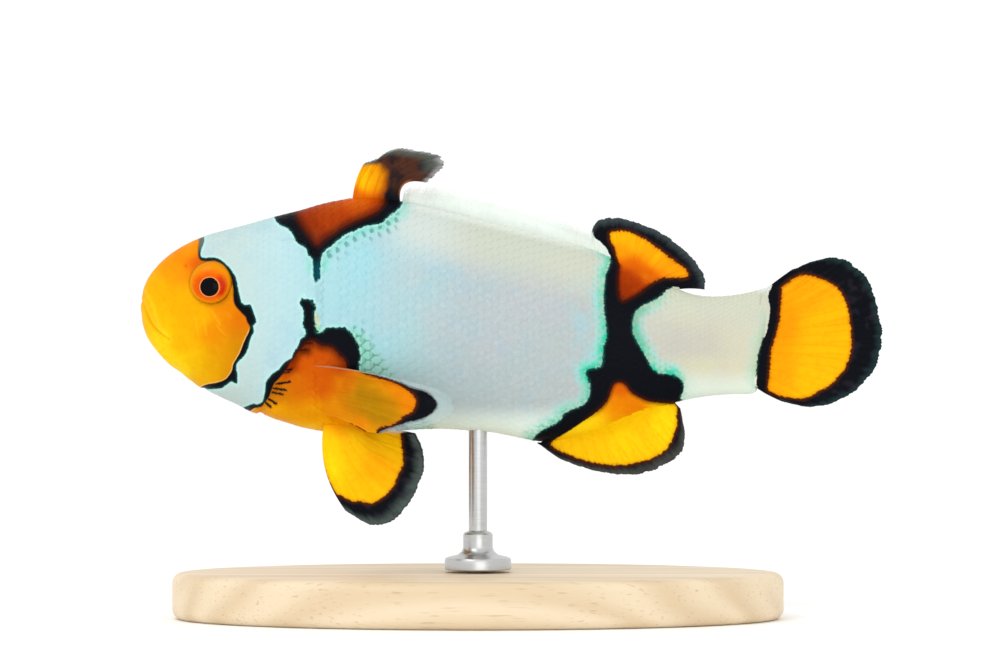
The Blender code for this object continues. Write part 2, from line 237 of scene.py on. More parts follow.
def whole_flesh():
    select_only(*[into_scene("flesh " + node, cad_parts[node].data.copy()) for node in FLESH])
    bpy.ops.object.join()
    body = bpy.context.object
    bpy.ops.object.mode_set(mode="EDIT")
    bpy.ops.mesh.select_all(action="SELECT")
    bpy.ops.mesh.remove_doubles(threshold=1e-6)
    bpy.ops.object.mode_set(mode="OBJECT")
    swell = body.modifiers.new("swell", "DISPLACE")
    swell.strength, swell.mid_level = SWELL, 0.0
    merge = body.modifiers.new("one body", "REMESH")
    merge.mode, merge.voxel_size = "VOXEL", VOXEL
    shrink = body.modifiers.new("shrink", "DISPLACE")
    shrink.strength, shrink.mid_level = -SWELL, 0.0
    apply_modifiers(body)
    return body


body = whole_flesh()
surface = BVHTree.FromObject(body, bpy.context.evaluated_depsgraph_get())
print("the body before it is smoothed:", len(body.data.polygons), "faces")
bpy.data.objects.remove(body)

# %% [markdown]
# ## Rings from snout to tail
#
# Skin and scales both need to know where the body's surface is at any place along it and round it.
# A shrinkwrap would answer that too, but it brings every facet along. Instead rays measure the body:
# upright sections first, for the middle line, the height and the width. Rings are then set along
# it, closer together at the snout and over the head, where the form changes fast.

# %% Upright sections and where the rings go
RINGS, GIRTH = 380, 224  # rings from snout to tail, and places round each
STEM_END = 67.35  # the tail's root behind the snout, at mid height, mm
STEM_RINGS = 16  # rings in the last stretch, where the stem closes
HEAD_END, HEAD_CROWDING = 20.0, 1.7  # up to here behind the snout the rings are closer by so much
ROD_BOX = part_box("stand_rod")
ROD_BEHIND = to_fish(sum(ROD_BOX, Vector()) / 2)[0]
ROD_CLEAR = 2.0  # the belly isn't measured this near the rod's axis, because of its socket, mm
FAR = 30  # the upright rays start so far above and below the snout, mm


def body_reach(start, direction):
    """How far the body reaches from a place along a direction, in lengths of that direction."""
    direction = np.asarray(direction, float)
    origin = to_scene(start)
    length = np.linalg.norm(direction)
    hit = surface.ray_cast(Vector(origin), Vector(direction), 50 * MM)
    return hit[3] / MM / length if hit[3] is not None else np.nan


def level_sections():
    """Middle height, half height and half width at closely spaced upright sections."""
    behind = np.concatenate((np.linspace(0.03, 0.8, 24), np.linspace(0.9, 65.5, 300)))
    back = np.array([FAR - body_reach((s, 0, FAR), (0, 0, -1)) for s in behind])
    belly = np.array([-FAR + body_reach((s, 0, -FAR), (0, 0, 1)) for s in behind])
    over_rod = np.abs(behind - ROD_BEHIND) < ROD_CLEAR
    belly[over_rod] = np.interp(behind[over_rod], behind[~over_rod], belly[~over_rod])
    middle = (back + belly) / 2
    width = np.array([body_reach((s, 0, z), (0, -1, 0)) for s, z in zip(behind, middle)])
    return behind, middle, (back - belly) / 2, width


behind, middle, half_height, half_width = level_sections()
profile = run_of(np.column_stack((behind, half_height, half_width)))
crowding = np.cumsum(np.gradient(profile) * np.where(behind < HEAD_END, HEAD_CROWDING, 1.0))
ring_behind = np.interp(np.linspace(crowding[0], crowding[-1], RINGS - STEM_RINGS), crowding, behind)
ring_behind = np.concatenate((ring_behind, np.linspace(65.6, STEM_END, STEM_RINGS)))
print("rings:", RINGS, "spaced", round(ring_behind[100] - ring_behind[99], 2), "mm on the head")

# %% [markdown]
# At each ring, rays go out at many angles and tell how far the body reaches. The raw widths still
# hold the loft's facets, the eye sockets and the rod's socket. Sockets are bridged by their
# neighbours, and a few cosines through the rest keep the form and lose the facets. Smoothing the
# mesh afterwards would shrink the lips and the thin stem.

# %% Widths at every angle
STEM_SLANT = 0.153  # how far the tail's root goes back per millimetre of height
SLANTS_FROM = 57.0  # the rings begin to lean so far behind the snout, mm
SOCKET = 2.9  # the eye sockets' reach from the eye's middle, mm
ANGLES = np.linspace(0, np.pi, 49)  # from the back round the left side to the belly
HARMONICS = 9


def smooth_rings(table, width=3.0):
    """Softens a table of rings along the fish, and leaves its two ends where they are."""
    offsets = np.arange(-9, 10)
    weights = hill(offsets, width)
    weights /= weights.sum()
    padded = np.concatenate((2 * table[:1] - table[9:0:-1], table, 2 * table[-1:] - table[-2:-11:-1]))
    return sum(weight * padded[9 + k : 9 + k + len(table)] for k, weight in zip(offsets, weights))


def measured_body():
    """One row for each ring: its place, middle, slant, half height and half width, and its cosines."""
    ring_middle = np.interp(ring_behind, behind, middle)
    slant = STEM_SLANT * ease(ring_behind, SLANTS_FROM, STEM_END)
    high = np.interp(ring_behind, behind, half_height)
    wide = np.interp(ring_behind, behind, half_width)
    stretch = np.empty((RINGS, len(ANGLES)))
    for i, s in enumerate(ring_behind):
        for j, angle in enumerate(ANGLES):
            up = high[i] * math.cos(angle)
            ray = (slant[i] * up, -wide[i] * math.sin(angle), up)
            stretch[i, j] = body_reach((s, 0, ring_middle[i]), ray)
    up = high[:, None] * np.cos(ANGLES) * stretch
    out = wide[:, None] * np.sin(ANGLES) * stretch
    from_eye = np.hypot(ring_behind[:, None] - EYE_BEHIND, ring_middle[:, None] + up - EYE_ABOVE)
    in_socket = from_eye < SOCKET
    at_rod = (np.abs(ring_behind[:, None] - ROD_BEHIND) < ROD_CLEAR) & (out < 2.2) & (up < 0)
    bad = in_socket | at_rod | ~np.isfinite(stretch)
    for j in range(len(ANGLES)):
        good = ~bad[:, j]
        stretch[:, j] = np.interp(ring_behind, ring_behind[good], stretch[good, j])
    cosines = np.cos(np.outer(np.arange(HARMONICS), ANGLES))
    ends = np.ones(len(ANGLES))
    ends[[0, -1]] = 0.5
    waves = (stretch * ends) @ cosines.T * 2 / (len(ANGLES) - 1)
    waves[:, 0] /= 2
    table = np.column_stack((ring_behind, ring_middle, slant, high, wide, waves))
    return smooth_rings(table)


# %% [markdown]
# The result is a table of places: rings from snout to tail, and equal shares of the girth round
# each ring, from the back down the left side to the belly and up the right side. The right side is
# the left one mirrored. The last rings draw in, so that the stem ends round inside the tail's root.
# The whole table then moves inwards by the depth that the coat of scales needs.

# %% The table of places
COAT_DEPTH = 0.08  # how far the skin lies inside the solids, mm
CLOSES_FROM = 66.3  # here the stem begins to draw in, behind the snout, mm
END_DROP, END_WIDTH = 0.5, 0.45  # how much lower its end is, mm, and the end's share of the width


def ring_places():
    """For each ring, places at equal shares of the girth, from the back all the way round to it."""
    table = measured_body()
    fine = np.linspace(0, np.pi, 361)
    cosines = np.cos(np.outer(np.arange(HARMONICS), fine))
    half = np.empty((RINGS, GIRTH // 2 + 1, 3))
    for i, (s, mid, slant, high, wide, *waves) in enumerate(table):
        end = max(s - CLOSES_FROM, 0) / (STEM_END - CLOSES_FROM + 0.05)
        closing = math.sqrt(max(1 - end**2, 0))
        stretch = np.array(waves) @ cosines
        up = (high - END_DROP * (1 - closing)) * stretch * np.cos(fine)
        out = wide * (END_WIDTH + (1 - END_WIDTH) * closing) * stretch * np.sin(fine)
        edge = np.column_stack((s + slant * up, -out, mid + up))
        run = run_of(edge)
        even = np.linspace(0, run[-1], GIRTH // 2 + 1)
        half[i] = np.column_stack([np.interp(even, run, edge[:, k]) for k in range(3)])
    right = half[:, -2:0:-1] * (1, -1, 1)
    return np.concatenate((half, right), axis=1)


def outward(table):
    """The outward direction at every place of a table of rings."""
    forward = np.gradient(table, axis=0)
    round_it = np.roll(table, -1, axis=1) - np.roll(table, 1, axis=1)
    across = np.cross(round_it, forward)
    return across / np.maximum(np.linalg.norm(across, axis=2, keepdims=True), 1e-9)


body_places = ring_places()
body_normals = outward(body_places)
if body_normals[100, GIRTH // 4, 1] > 0:  # a place on the left flank has to point to the left
    body_normals = -body_normals
body_places = body_places - body_normals * COAT_DEPTH
girths = np.linalg.norm(np.roll(body_places, -1, axis=1) - body_places, axis=2).sum(axis=1)
print("largest girth:", round(float(girths.max()), 1), "mm")


def on_body(ring, share, lift):
    """Places on the body at any ring number and girth share, lifted off it by so many mm."""
    ring = np.clip(ring, 0, RINGS - 1.001)
    low = ring.astype(int)
    t = (ring - low)[:, None]
    turn = (share % 1.0) * GIRTH
    first = np.floor(turn).astype(int)
    u = (turn - first)[:, None]
    first, second = first % GIRTH, (first + 1) % GIRTH

    def blend(table):
        near = table[low, first] * (1 - u) + table[low, second] * u
        far = table[low + 1, first] * (1 - u) + table[low + 1, second] * u
        return near * (1 - t) + far * t

    return blend(body_places) + blend(body_normals) * np.asarray(lift)[:, None]


# %% [markdown]
# ## The markings
#
# This colour form is white with orange patches in black outlines. Each patch is two outlines on
# the side view: where the black begins, and inside it where the orange begins. They could be
# painted on a picture that is wrapped round the body, but a picture blurs where it is seen close,
# and stops at its seams. Instead every point of skin, scale and fin stores how deep it is inside
# the black and inside the orange. So the same borders run on across all of them, and the material
# sharpens and roughens them finely.
#
# All the outlines are in millimetres behind and above the snout. A smooth line goes through the
# points, and a few corners far outside the body close it. The first patch is the face: an orange
# mask up to the cheek's edge, with a thin black line behind it that thickens over the gill plate.

# %% The face
FACE_BLACK = [(7.3, 12.0), (6.95, 8.5), (6.9, 7.1), (6.6, 6.3), (6.55, 5.7), (6.8, 5.48), (7.6, 5.5),
              (8.2, 5.45), (8.6, 5.3), (9.0, 5.0), (9.6, 4.45), (10.0, 3.9), (10.35, 3.3), (10.55, 2.5),
              (10.65, 1.9), (10.8, 1.1), (11.0, 0.55), (11.45, 0.35), (11.9, 0.45), (12.1, 0.0),
              (12.4, -0.8), (12.55, -1.5), (12.2, -1.9), (12.3, -2.5), (12.1, -2.9), (11.85, -3.6),
              (11.7, -4.3), (11.4, -4.9), (11.0, -5.4), (10.5, -5.9), (10.4, -6.5), (10.5, -7.3),
              (10.45, -8.2), (9.9, -7.9), (9.3, -8.3), (8.8, -8.6), (8.1, -8.7), (7.4, -8.75), (6.9, -9.0),
              (6.6, -12.0)]
FACE_ORANGE = [(6.8, 12.0), (6.5, 8.9), (6.4, 7.2), (6.3, 6.3), (6.35, 5.6), (6.6, 5.2), (7.2, 5.1),
               (8.0, 5.15), (8.6, 4.95), (9.1, 4.6), (9.5, 4.1), (9.85, 3.4), (10.0, 2.6), (10.1, 1.9),
               (10.1, 1.2), (10.25, 0.4), (10.9, -0.4), (11.4, -0.9), (11.6, -1.5), (11.9, -2.0),
               (11.75, -2.6), (11.4, -3.3), (11.1, -4.0), (10.8, -4.8), (10.4, -5.5), (10.1, -6.0),
               (9.9, -6.8), (9.5, -7.4), (9.2, -7.7), (8.6, -7.95), (8.0, -8.1), (7.2, -8.25), (6.5, -8.6),
               (6.2, -9.2), (6.0, -12.0)]
AHEAD = [(-4.0, -12.0), (-4.0, 12.0)]

# %% [markdown]
# The nape's saddle runs up into the first dorsal spines and down to a long black point.

# %% The nape
NAPE_BLACK = [(14.0, 11.0), (14.6, 9.6), (15.0, 9.1), (15.5, 8.85), (16.0, 8.6), (16.4, 8.15), (16.7, 7.6),
              (16.9, 7.1), (17.4, 6.85), (18.0, 6.45), (18.15, 5.8), (18.55, 5.4), (18.7, 4.9), (18.7, 4.0),
              (18.75, 3.2), (18.95, 2.8), (19.25, 2.8), (19.45, 3.3), (19.5, 4.2), (19.55, 5.2),
              (19.7, 5.9), (20.2, 6.4), (21.0, 7.0), (22.0, 7.85), (23.0, 8.3), (24.0, 8.75), (25.0, 9.0),
              (26.0, 9.2), (26.5, 9.6), (27.2, 10.2), (28.0, 10.8), (28.3, 11.3), (28.5, 12.5)]
NAPE_ORANGE = [(16.7, 12.0), (16.8, 10.2), (17.2, 9.3), (17.8, 8.4), (18.35, 7.7), (18.9, 6.9), (19.4, 6.9),
               (20.0, 7.5), (20.9, 8.05), (21.8, 8.7), (22.6, 9.1), (23.5, 9.5), (24.5, 9.9), (25.4, 10.3),
               (26.0, 10.8), (26.4, 11.5), (26.7, 12.5)]
OVER_NAPE_BLACK = [(28.6, 18.0), (13.5, 18.0)]
OVER_NAPE_ORANGE = [(26.8, 18.0), (16.6, 18.0)]

# %% [markdown]
# The breast's patch starts at the gill slit and goes under the pectoral fin to the belly. Its front
# edge climbs in steps and its rear edge rolls round the fin's base. Along the gill's edge the black
# frays into short strokes like the teeth of a comb.

# %% The breast and the comb at the gill's edge
SIDE_BLACK = [(18.5, 0.65), (18.75, 1.0), (18.2, 0.97), (17.75, 1.02), (17.6, 1.5), (17.45, 1.1),
              (17.2, 0.65), (17.35, 0.3), (17.6, -0.1), (17.65, -0.9), (17.55, -1.9), (17.85, -2.3),
              (17.85, -2.9), (17.3, -3.4), (17.0, -4.1), (16.6, -4.7), (16.4, -5.3), (15.7, -5.8),
              (15.3, -6.2), (15.0, -6.6), (14.5, -6.9), (14.0, -7.4), (13.6, -8.0), (13.5, -8.8),
              (13.4, -9.5), (13.2, -10.1), (12.6, -10.4), (12.2, -10.3), (10.8, -10.9)]
SIDE_BLACK_REAR = [(29.9, -13.6), (27.8, -11.9), (25.7, -10.3), (24.4, -8.4), (23.65, -6.6), (23.7, -6.0),
                   (23.85, -5.0), (23.6, -4.0), (23.1, -3.0), (22.6, -2.4), (22.0, -2.0), (21.5, -2.05),
                   (20.9, -2.05), (20.0, -2.15), (19.7, -2.55), (19.2, -2.65), (18.9, -2.5), (19.1, -2.2),
                   (18.85, -1.9), (19.2, -1.65), (18.85, -1.4), (18.8, -0.6), (18.95, -0.25), (19.25, 0.0),
                   (18.95, 0.17), (19.1, 0.4)]
SIDE_ORANGE = [(19.0, -3.6), (18.3, -3.5), (17.7, -4.0), (17.3, -4.5), (16.9, -4.9), (16.6, -5.4),
               (16.1, -6.0), (15.9, -6.5), (15.4, -7.1), (14.9, -7.7), (14.5, -8.1), (14.3, -8.6),
               (14.1, -9.1), (13.9, -9.6), (13.5, -10.1), (13.1, -10.6), (12.3, -10.8), (11.2, -11.6)]
SIDE_ORANGE_REAR = [(28.7, -14.0), (27.0, -12.6), (24.6, -10.9), (23.0, -8.7), (22.4, -6.8), (22.3, -6.0),
                    (22.0, -5.4), (21.5, -5.0), (21.1, -4.5), (20.6, -4.15), (20.0, -4.1), (19.4, -4.0)]
UNDER_SIDE = [(11.0, -18.0), (30.0, -18.0)]
GILL_COMB = [((17.3, -3.95), (18.6, -3.7)), ((17.2, -4.5), (18.0, -4.5)), ((15.6, -6.65), (16.35, -6.6)),
             ((15.2, -7.0), (16.1, -6.85)), ((14.7, -8.15), (16.2, -7.95)), ((14.4, -8.6), (15.75, -8.85)),
             ((14.2, -9.05), (15.4, -9.3)), ((13.9, -9.8), (14.7, -10.3)), ((13.5, -10.1), (14.1, -10.65))]

# %% [markdown]
# At the rear one black band joins the soft dorsal fin and the anal fin, narrow at mid height, and
# each fin has its own field of orange that reaches a little way onto the body.

# %% The rear band, the soft dorsal fin and the anal fin
REAR_BLACK = [(48.0, 12.0), (48.5, 9.0), (48.9, 8.1), (49.2, 7.6), (49.8, 7.1), (50.3, 6.5), (50.7, 5.8),
              (50.85, 5.0), (50.6, 4.3), (50.25, 3.5), (50.15, 2.3), (50.1, 1.0), (50.2, -0.5),
              (50.4, -2.0), (50.4, -3.3), (50.1, -4.2), (50.0, -5.2), (49.9, -6.1), (49.2, -6.5),
              (48.3, -6.7), (48.3, -7.4), (48.6, -8.2), (48.6, -9.2), (48.3, -10.0), (47.6, -10.6),
              (46.6, -11.0), (45.7, -11.5), (45.4, -12.1), (44.2, -12.8), (43.2, -13.3), (42.6, -13.9),
              (42.0, -15.0)]
REAR_BLACK_BACK = [(60.6, -10.6), (58.5, -9.9), (58.7, -8.8), (58.6, -8.0), (57.9, -7.4), (57.0, -7.1),
                   (56.0, -7.0), (55.2, -6.4), (54.8, -5.5), (54.4, -4.8), (53.9, -4.0), (53.5, -3.3),
                   (53.2, -2.4), (53.2, -1.3), (53.4, -0.5), (53.8, -0.05), (54.7, 0.5), (55.8, 1.1),
                   (56.6, 1.7), (57.1, 2.1), (57.6, 2.3), (58.2, 2.2), (58.8, 1.8), (61.6, 1.6)]
BEHIND_REAR = [(62.0, 12.0)]
UNDER_REAR = [(42.0, -19.0), (62.0, -19.0)]
DORSAL_ORANGE = [(50.7, 8.1), (51.3, 8.3), (52.3, 8.35), (53.2, 8.1), (54.3, 7.6), (55.3, 6.9), (56.3, 6.2),
                 (57.3, 5.4), (58.4, 4.6), (59.0, 4.1), (59.1, 3.5), (58.6, 3.3), (57.6, 3.3), (56.6, 3.3),
                 (55.6, 2.9), (54.6, 2.2), (53.8, 1.6), (52.9, 1.1), (52.1, 0.8), (51.8, 1.3), (51.7, 2.3),
                 (51.7, 3.4), (51.8, 4.6), (51.5, 5.6), (51.2, 6.6), (50.8, 7.4)]
ANAL_ORANGE = [(51.8, -7.95), (52.4, -8.2), (52.9, -8.9), (53.5, -9.4), (54.3, -9.8), (55.3, -10.1),
               (56.5, -10.25), (57.9, -10.5), (57.95, -11.5), (57.9, -12.7), (57.6, -13.8), (57.2, -14.8),
               (56.4, -15.6), (55.3, -16.2), (54.0, -16.6), (52.5, -16.9), (51.0, -16.95), (49.5, -16.75),
               (48.0, -16.4), (46.5, -15.9), (45.2, -15.3), (44.5, -14.8), (44.6, -14.3), (45.4, -13.8),
               (46.4, -13.2), (47.3, -12.6), (48.2, -12.0), (49.2, -11.3), (50.1, -10.5), (50.6, -9.7),
               (50.9, -8.9), (51.2, -8.2)]

# %% [markdown]
# The tail fin is orange inside a broad black margin, which starts on the last of the stem. With it
# the list of patches is complete.

# %% The tail, and all the patches of the body
TAIL_BLACK = [(68.8, 5.0), (68.2, 2.4), (67.95, 1.8), (67.8, 1.0), (67.95, 0.3), (67.95, -0.5),
              (67.8, -1.5), (67.5, -2.8), (67.1, -3.6), (66.8, -4.8), (66.6, -6.0), (66.55, -7.2),
              (66.5, -8.1), (66.6, -9.0), (66.6, -12.0)]
TAIL_ORANGE = [(69.3, 2.2), (69.25, 1.0), (69.15, 0.0), (69.0, -1.5), (68.6, -3.0), (68.3, -4.0),
               (68.05, -5.2), (67.95, -7.0), (67.85, -8.8), (68.5, -9.2), (69.6, -9.6), (71.0, -9.7),
               (72.0, -9.6), (73.0, -9.1), (74.2, -8.5), (75.0, -7.9), (75.9, -6.9), (76.5, -5.8),
               (76.8, -4.6), (76.9, -3.5), (76.8, -2.0), (76.6, -0.5), (76.2, 0.8), (75.6, 1.9),
               (74.8, 2.6), (73.8, 3.1), (72.8, 3.5), (71.8, 3.6), (70.8, 3.3), (70.0, 2.8)]
BEHIND_TAIL = [(84.0, -14.0), (84.0, 9.0)]


def ringed(points):
    """A smooth closed outline through points that go all the way round."""
    return smooth_line(points + points[:1])


BODY_BLACK = [
    np.vstack((smooth_line(FACE_BLACK), AHEAD)),
    np.vstack((smooth_line(NAPE_BLACK), OVER_NAPE_BLACK)),
    np.vstack((smooth_line(SIDE_BLACK), UNDER_SIDE, smooth_line(SIDE_BLACK_REAR))),
    np.vstack((smooth_line(REAR_BLACK), UNDER_REAR, smooth_line(REAR_BLACK_BACK), BEHIND_REAR)),
    np.vstack((smooth_line(TAIL_BLACK), BEHIND_TAIL)),
]
BODY_ORANGE = [
    np.vstack((smooth_line(FACE_ORANGE), AHEAD)),
    np.vstack((smooth_line(NAPE_ORANGE), OVER_NAPE_ORANGE)),
    np.vstack((smooth_line(SIDE_ORANGE), UNDER_SIDE, smooth_line(SIDE_ORANGE_REAR))),
    ringed(DORSAL_ORANGE),
    ringed(ANAL_ORANGE),
    ringed(TAIL_ORANGE),
]
print("patches:", len(BODY_BLACK), "black,", len(BODY_ORANGE), "orange")

# %% [markdown]
# The orange isn't one colour: the nape is brown-red, the breast glows orange, the lips and the fins
# are yellow, and an olive shade lies over the cheek and the pectoral fin. One gradient from front to
# back can't follow that. So spots of a known warmth, from 0 for yellow to 1 for brown-red, are
# spread over the fish and blended: the nearer a spot, the more it counts.

# %% Warmth of the orange
WARM_SPOTS = [  # behind the snout, above it, warmth, shade of olive
    # face
    (5.6, 6.2, 0.46, 0), (6.3, 5.1, 0.72, 0), (3.8, 4.0, 0.46, 0), (1.8, 2.2, 0.32, 0),
    (5.0, 1.0, 0.34, 0), (1.2, -1.0, 0.26, 0), (6.5, -1.0, 0.32, 0.05), (8.2, -2.6, 0.48, 0.14),
    (9.5, 0.0, 0.54, 0.12), (10.8, -1.3, 0.64, 0.12), (11.2, -3.0, 0.55, 0.4), (10.5, -4.6, 0.45, 0.55),
    (9.3, -4.6, 0.42, 0.3), (9.6, -6.6, 0.42, 0.4), (8.0, -6.2, 0.3, 0.32), (6.0, -6.0, 0.18, 0.22),
    (6.8, -7.7, 0.26, 0.2), (4.6, -6.7, 0.0, 0.1), (2.0, -4.2, 0.0, 0.1), (3.4, -5.6, 0.0, 0.12),
    (4.4, -4.0, 0.3, 0.05), (9.2, 2.5, 0.5, 0.15),
    # nape
    (17.8, 9.0, 1.0, 0), (19.2, 8.2, 1.0, 0), (20.5, 9.5, 0.93, 0), (22.0, 9.8, 0.93, 0),
    (23.5, 10.6, 0.86, 0.1), (25.4, 11.0, 0.9, 0), (21.0, 11.2, 0.86, 0.1), (23.0, 11.6, 0.74, 0),
    (26.4, 11.6, 0.86, 0),
    # breast and pectoral fin
    (18.5, -4.5, 0.8, 0), (20.4, -4.8, 0.8, 0), (21.8, -6.0, 0.88, 0), (16.3, -6.0, 0.88, 0),
    (17.6, -5.6, 0.74, 0), (19.8, -8.0, 0.76, 0), (17.0, -8.2, 0.68, 0.2), (15.2, -9.2, 0.6, 0.45),
    (15.0, -11.2, 0.34, 0.15), (18.5, -11.6, 0.42, 0.2), (18.5, -13.2, 0.12, 0),
    (21.5, -11.0, 0.5, 0.25), (22.4, -8.2, 0.68, 0.3), (23.9, -9.4, 0.5, 0.9), (25.0, -8.6, 0.5, 0.75),
    (25.4, -10.0, 0.48, 0.9), (26.8, -10.4, 0.5, 0.75), (25.6, -11.6, 0.46, 0.95),
    (26.6, -12.0, 0.46, 0.85), (24.4, -11.0, 0.5, 0.85), (23.0, -10.6, 0.54, 0.6),
    (24.0, -12.5, 0.56, 0.1), (25.6, -7.9, 0.56, 0.3), (27.6, -8.7, 0.56, 0.1),
    (29.0, -10.0, 0.56, 0.05), (21.5, -13.0, 0.4, 0),
    # first dorsal spines
    (23.2, 12.2, 0.66, 0), (24.2, 13.6, 0.16, 0), (25.6, 13.6, 0.34, 0), (26.4, 13.4, 0.58, 0.2),
    # soft dorsal fin
    (52.0, 7.8, 0.28, 0), (53.8, 6.8, 0.32, 0), (55.8, 5.2, 0.36, 0), (58.0, 4.2, 0.42, 0),
    (52.3, 6.2, 0.42, 0), (53.0, 4.8, 0.68, 0), (52.4, 3.4, 0.95, 0), (54.8, 3.6, 0.68, 0),
    (52.4, 2.0, 1.0, 0), (53.6, 2.4, 0.95, 0),
    # anal fin
    (52.0, -8.6, 0.7, 0), (51.6, -10.4, 0.5, 0), (50.0, -11.0, 0.4, 0), (53.4, -10.0, 0.54, 0),
    (46.6, -13.4, 0.3, 0), (52.0, -14.0, 0.06, 0), (48.0, -12.8, 0.1, 0), (47.5, -14.6, 0.14, 0),
    (56.6, -11.8, 0.0, 0),
    # tail fin
    (69.0, -1.5, 0.44, 0), (68.6, -7.0, 0.38, 0), (71.5, 2.0, 0.38, 0), (73.5, -2.5, 0.28, 0),
    (73.0, -7.5, 0.24, 0),
    # pelvic fins; the three spots at their top, under the pectoral fin, are yellower in part as painted light
    # against its shadow
    (20.6, -14.6, 0.08, 0), (20.5, -17.0, 0.02, 0), (23.0, -16.0, 0.2, 0), (25.5, -17.0, 0.34, 0),
    (27.4, -15.0, 0.22, 0), (24.5, -20.0, 0.2, 0), (23.5, -14.2, 0.16, 0), (26.5, -13.8, 0.16, 0),
]
SPOT_BLUR = 0.8  # keeps a spot from standing out as a point, mm squared
print("spots of known warmth:", len(WARM_SPOTS))


def blended(sides, column):
    """One column of the spots' values, running smoothly between the spots."""
    total, share = np.zeros(len(sides)), np.zeros(len(sides))
    for spot in WARM_SPOTS:
        weight = 1 / (np.sum((sides - spot[:2]) ** 2, axis=1) + SPOT_BLUR) ** 2
        total += weight * spot[column]
        share += weight
    return total / share


# %% Store the markings on a piece
def mark(obj, black=BODY_BLACK, orange=BODY_ORANGE, places=None, warmest=1.0):
    """Stores on each point how deep it is in the black and in the orange, and how warm the orange is."""
    sides = side_view(to_fish(points_of(obj)) if places is None else places)
    in_black = np.max([depth_inside(sides, outline) for outline in black], axis=0)
    in_orange = np.max([depth_inside(sides, outline) for outline in orange], axis=0)
    keep_values(obj, "in_black", in_black)
    keep_values(obj, "in_orange", in_orange)
    keep_values(obj, "warmth", np.minimum(blended(sides, 2), warmest))
    keep_values(obj, "olive", blended(sides, 3))


# %% [markdown]
# ## Folds of the head
#
# The head of a clownfish has soft, low folds: lips and mouth slit, a fold behind the lip, fine
# lines over the cheek, the hard edges of cheek and gill cover, and a lid that rises to the eyeball.
# They could be sculpted. Here each is a line on the side view with a height that falls off beside
# it, so a fold can be moved or softened by one number. The fleshy base of the pectoral fin is a low
# mound.

# %% The folds of the head
MOUTH = [(-0.4, 1.3), (0.25, 0.65), (0.75, -0.7), (1.6, -2.2), (3.1, -3.35)]
UPPER_LIP = [(0.4, 2.2), (1.3, 0.55), (1.9, -1.2), (2.85, -3.1)]
SNOUT_FOLD = [(1.3, 2.6), (2.0, 1.7), (2.7, 0.8), (3.5, -0.5)]
LOWER_LIP = [(0.1, -1.6), (0.8, -2.8), (1.8, -4.0), (3.0, -4.8)]
CHEEK_LINES = [((7.7, -0.2), (8.7, -1.8)), ((8.3, -1.9), (9.2, -2.9)), ((6.9, -1.2), (7.2, -2.9)),
               ((6.0, -1.0), (6.3, -3.0))]
CHEEK = [(9.9, 3.4), (10.15, 1.2), (11.4, -0.9), (11.95, -2.0), (11.4, -3.3), (10.8, -4.8), (10.1, -6.0),
         (9.5, -7.4), (8.6, -7.95), (6.6, -8.6)]
CHEEK_FRONT = [(3.0, -9.0), (3.0, 3.4)]
GILL_EDGE = [(16.6, 7.4), (18.3, 6.4), (19.0, 3.2), (19.0, -0.8), (17.6, -4.5), (15.2, -8.0), (12.8, -11.2),
             (11.0, -12.6)]
GILL_FRONT = [(4.0, -13.0), (4.0, 7.0)]
NOSTRIL = (4.9, 4.6)
FIN_LOBE, LOBE_SIZE = (19.6, -8.7), (1.8, 3.0)
EYE_LID = 0.14  # the skin rises to the eyeball by this much, mm
EYE_HOLLOW = 1.3  # and sinks under it by this much


def raised(sides, line, height, width):
    """A soft ridge along a line, or a groove where the height is less than 0."""
    return height * hill(distance_to(sides, line), width)


def folds(fish):
    """How far the skin rises at places on the fish, and how much of that is fold and lip, in mm."""
    sides = side_view(fish)
    off_tip = ease(sides[:, 0], -0.1, 0.9)  # the very tip of the snout stays smooth
    mouth = distance_to(sides, smooth_line(MOUTH))
    lips = 0.05 * hill(mouth - 0.34, 0.22) * (0.3 + 0.7 * off_tip)
    lips -= (0.05 + 0.1 * off_tip) * hill(mouth, 0.11)
    lips += raised(sides, smooth_line(UPPER_LIP), 0.075, 0.24) * off_tip
    lips += raised(sides, smooth_line(SNOUT_FOLD), -0.05, 0.17) * off_tip
    lips += raised(sides, smooth_line(LOWER_LIP), -0.04, 0.2) * off_tip
    lips += sum(raised(sides, line, 0.05, 0.15) for line in CHEEK_LINES)
    eye = np.hypot(fish[:, 0] - EYE_BEHIND, fish[:, 2] - EYE_ABOVE)
    rise = lips - EYE_HOLLOW * (1 - ease(eye, 2.04, 2.24)) + EYE_LID * (1 - ease(eye, 2.3, 2.9))
    cheek = depth_inside(sides, np.vstack((smooth_line(CHEEK), CHEEK_FRONT)))
    on_cheek = 1 - ease(distance_to(sides, smooth_line(CHEEK)), 0.2, 1.4)
    rise += on_cheek * (0.1 * ease(cheek, -0.1, 0.08) - 0.06 * hill(cheek + 0.15, 0.15))
    gill = depth_inside(sides, np.vstack((smooth_line(GILL_EDGE), GILL_FRONT)))
    on_edge = 1 - ease(distance_to(sides, smooth_line(GILL_EDGE)), 0.4, 2.5)
    rise += on_edge * (0.2 * ease(gill, -0.12, 0.12) - 0.14 * hill(gill + 0.3, 0.3))
    nostril = np.hypot(sides[:, 0] - NOSTRIL[0], sides[:, 1] - NOSTRIL[1])
    rise += 0.05 * hill(nostril - 0.3, 0.12) - 0.25 * hill(nostril, 0.17)
    lobe = np.linalg.norm((sides - FIN_LOBE) / LOBE_SIZE, axis=1)
    rise += 0.4 * hill(lobe, 1.0)
    return rise, lips


# %% [markdown]
# ## The skin
#
# A globe is laid over the fish: its poles sit at the snout and at the tail's root, and its
# meridians run along the flanks. That is a clean start for an animal, with no seam and with its
# faces in rows along the body. Each of its points goes to its place in the table, raised or sunk
# by the folds.

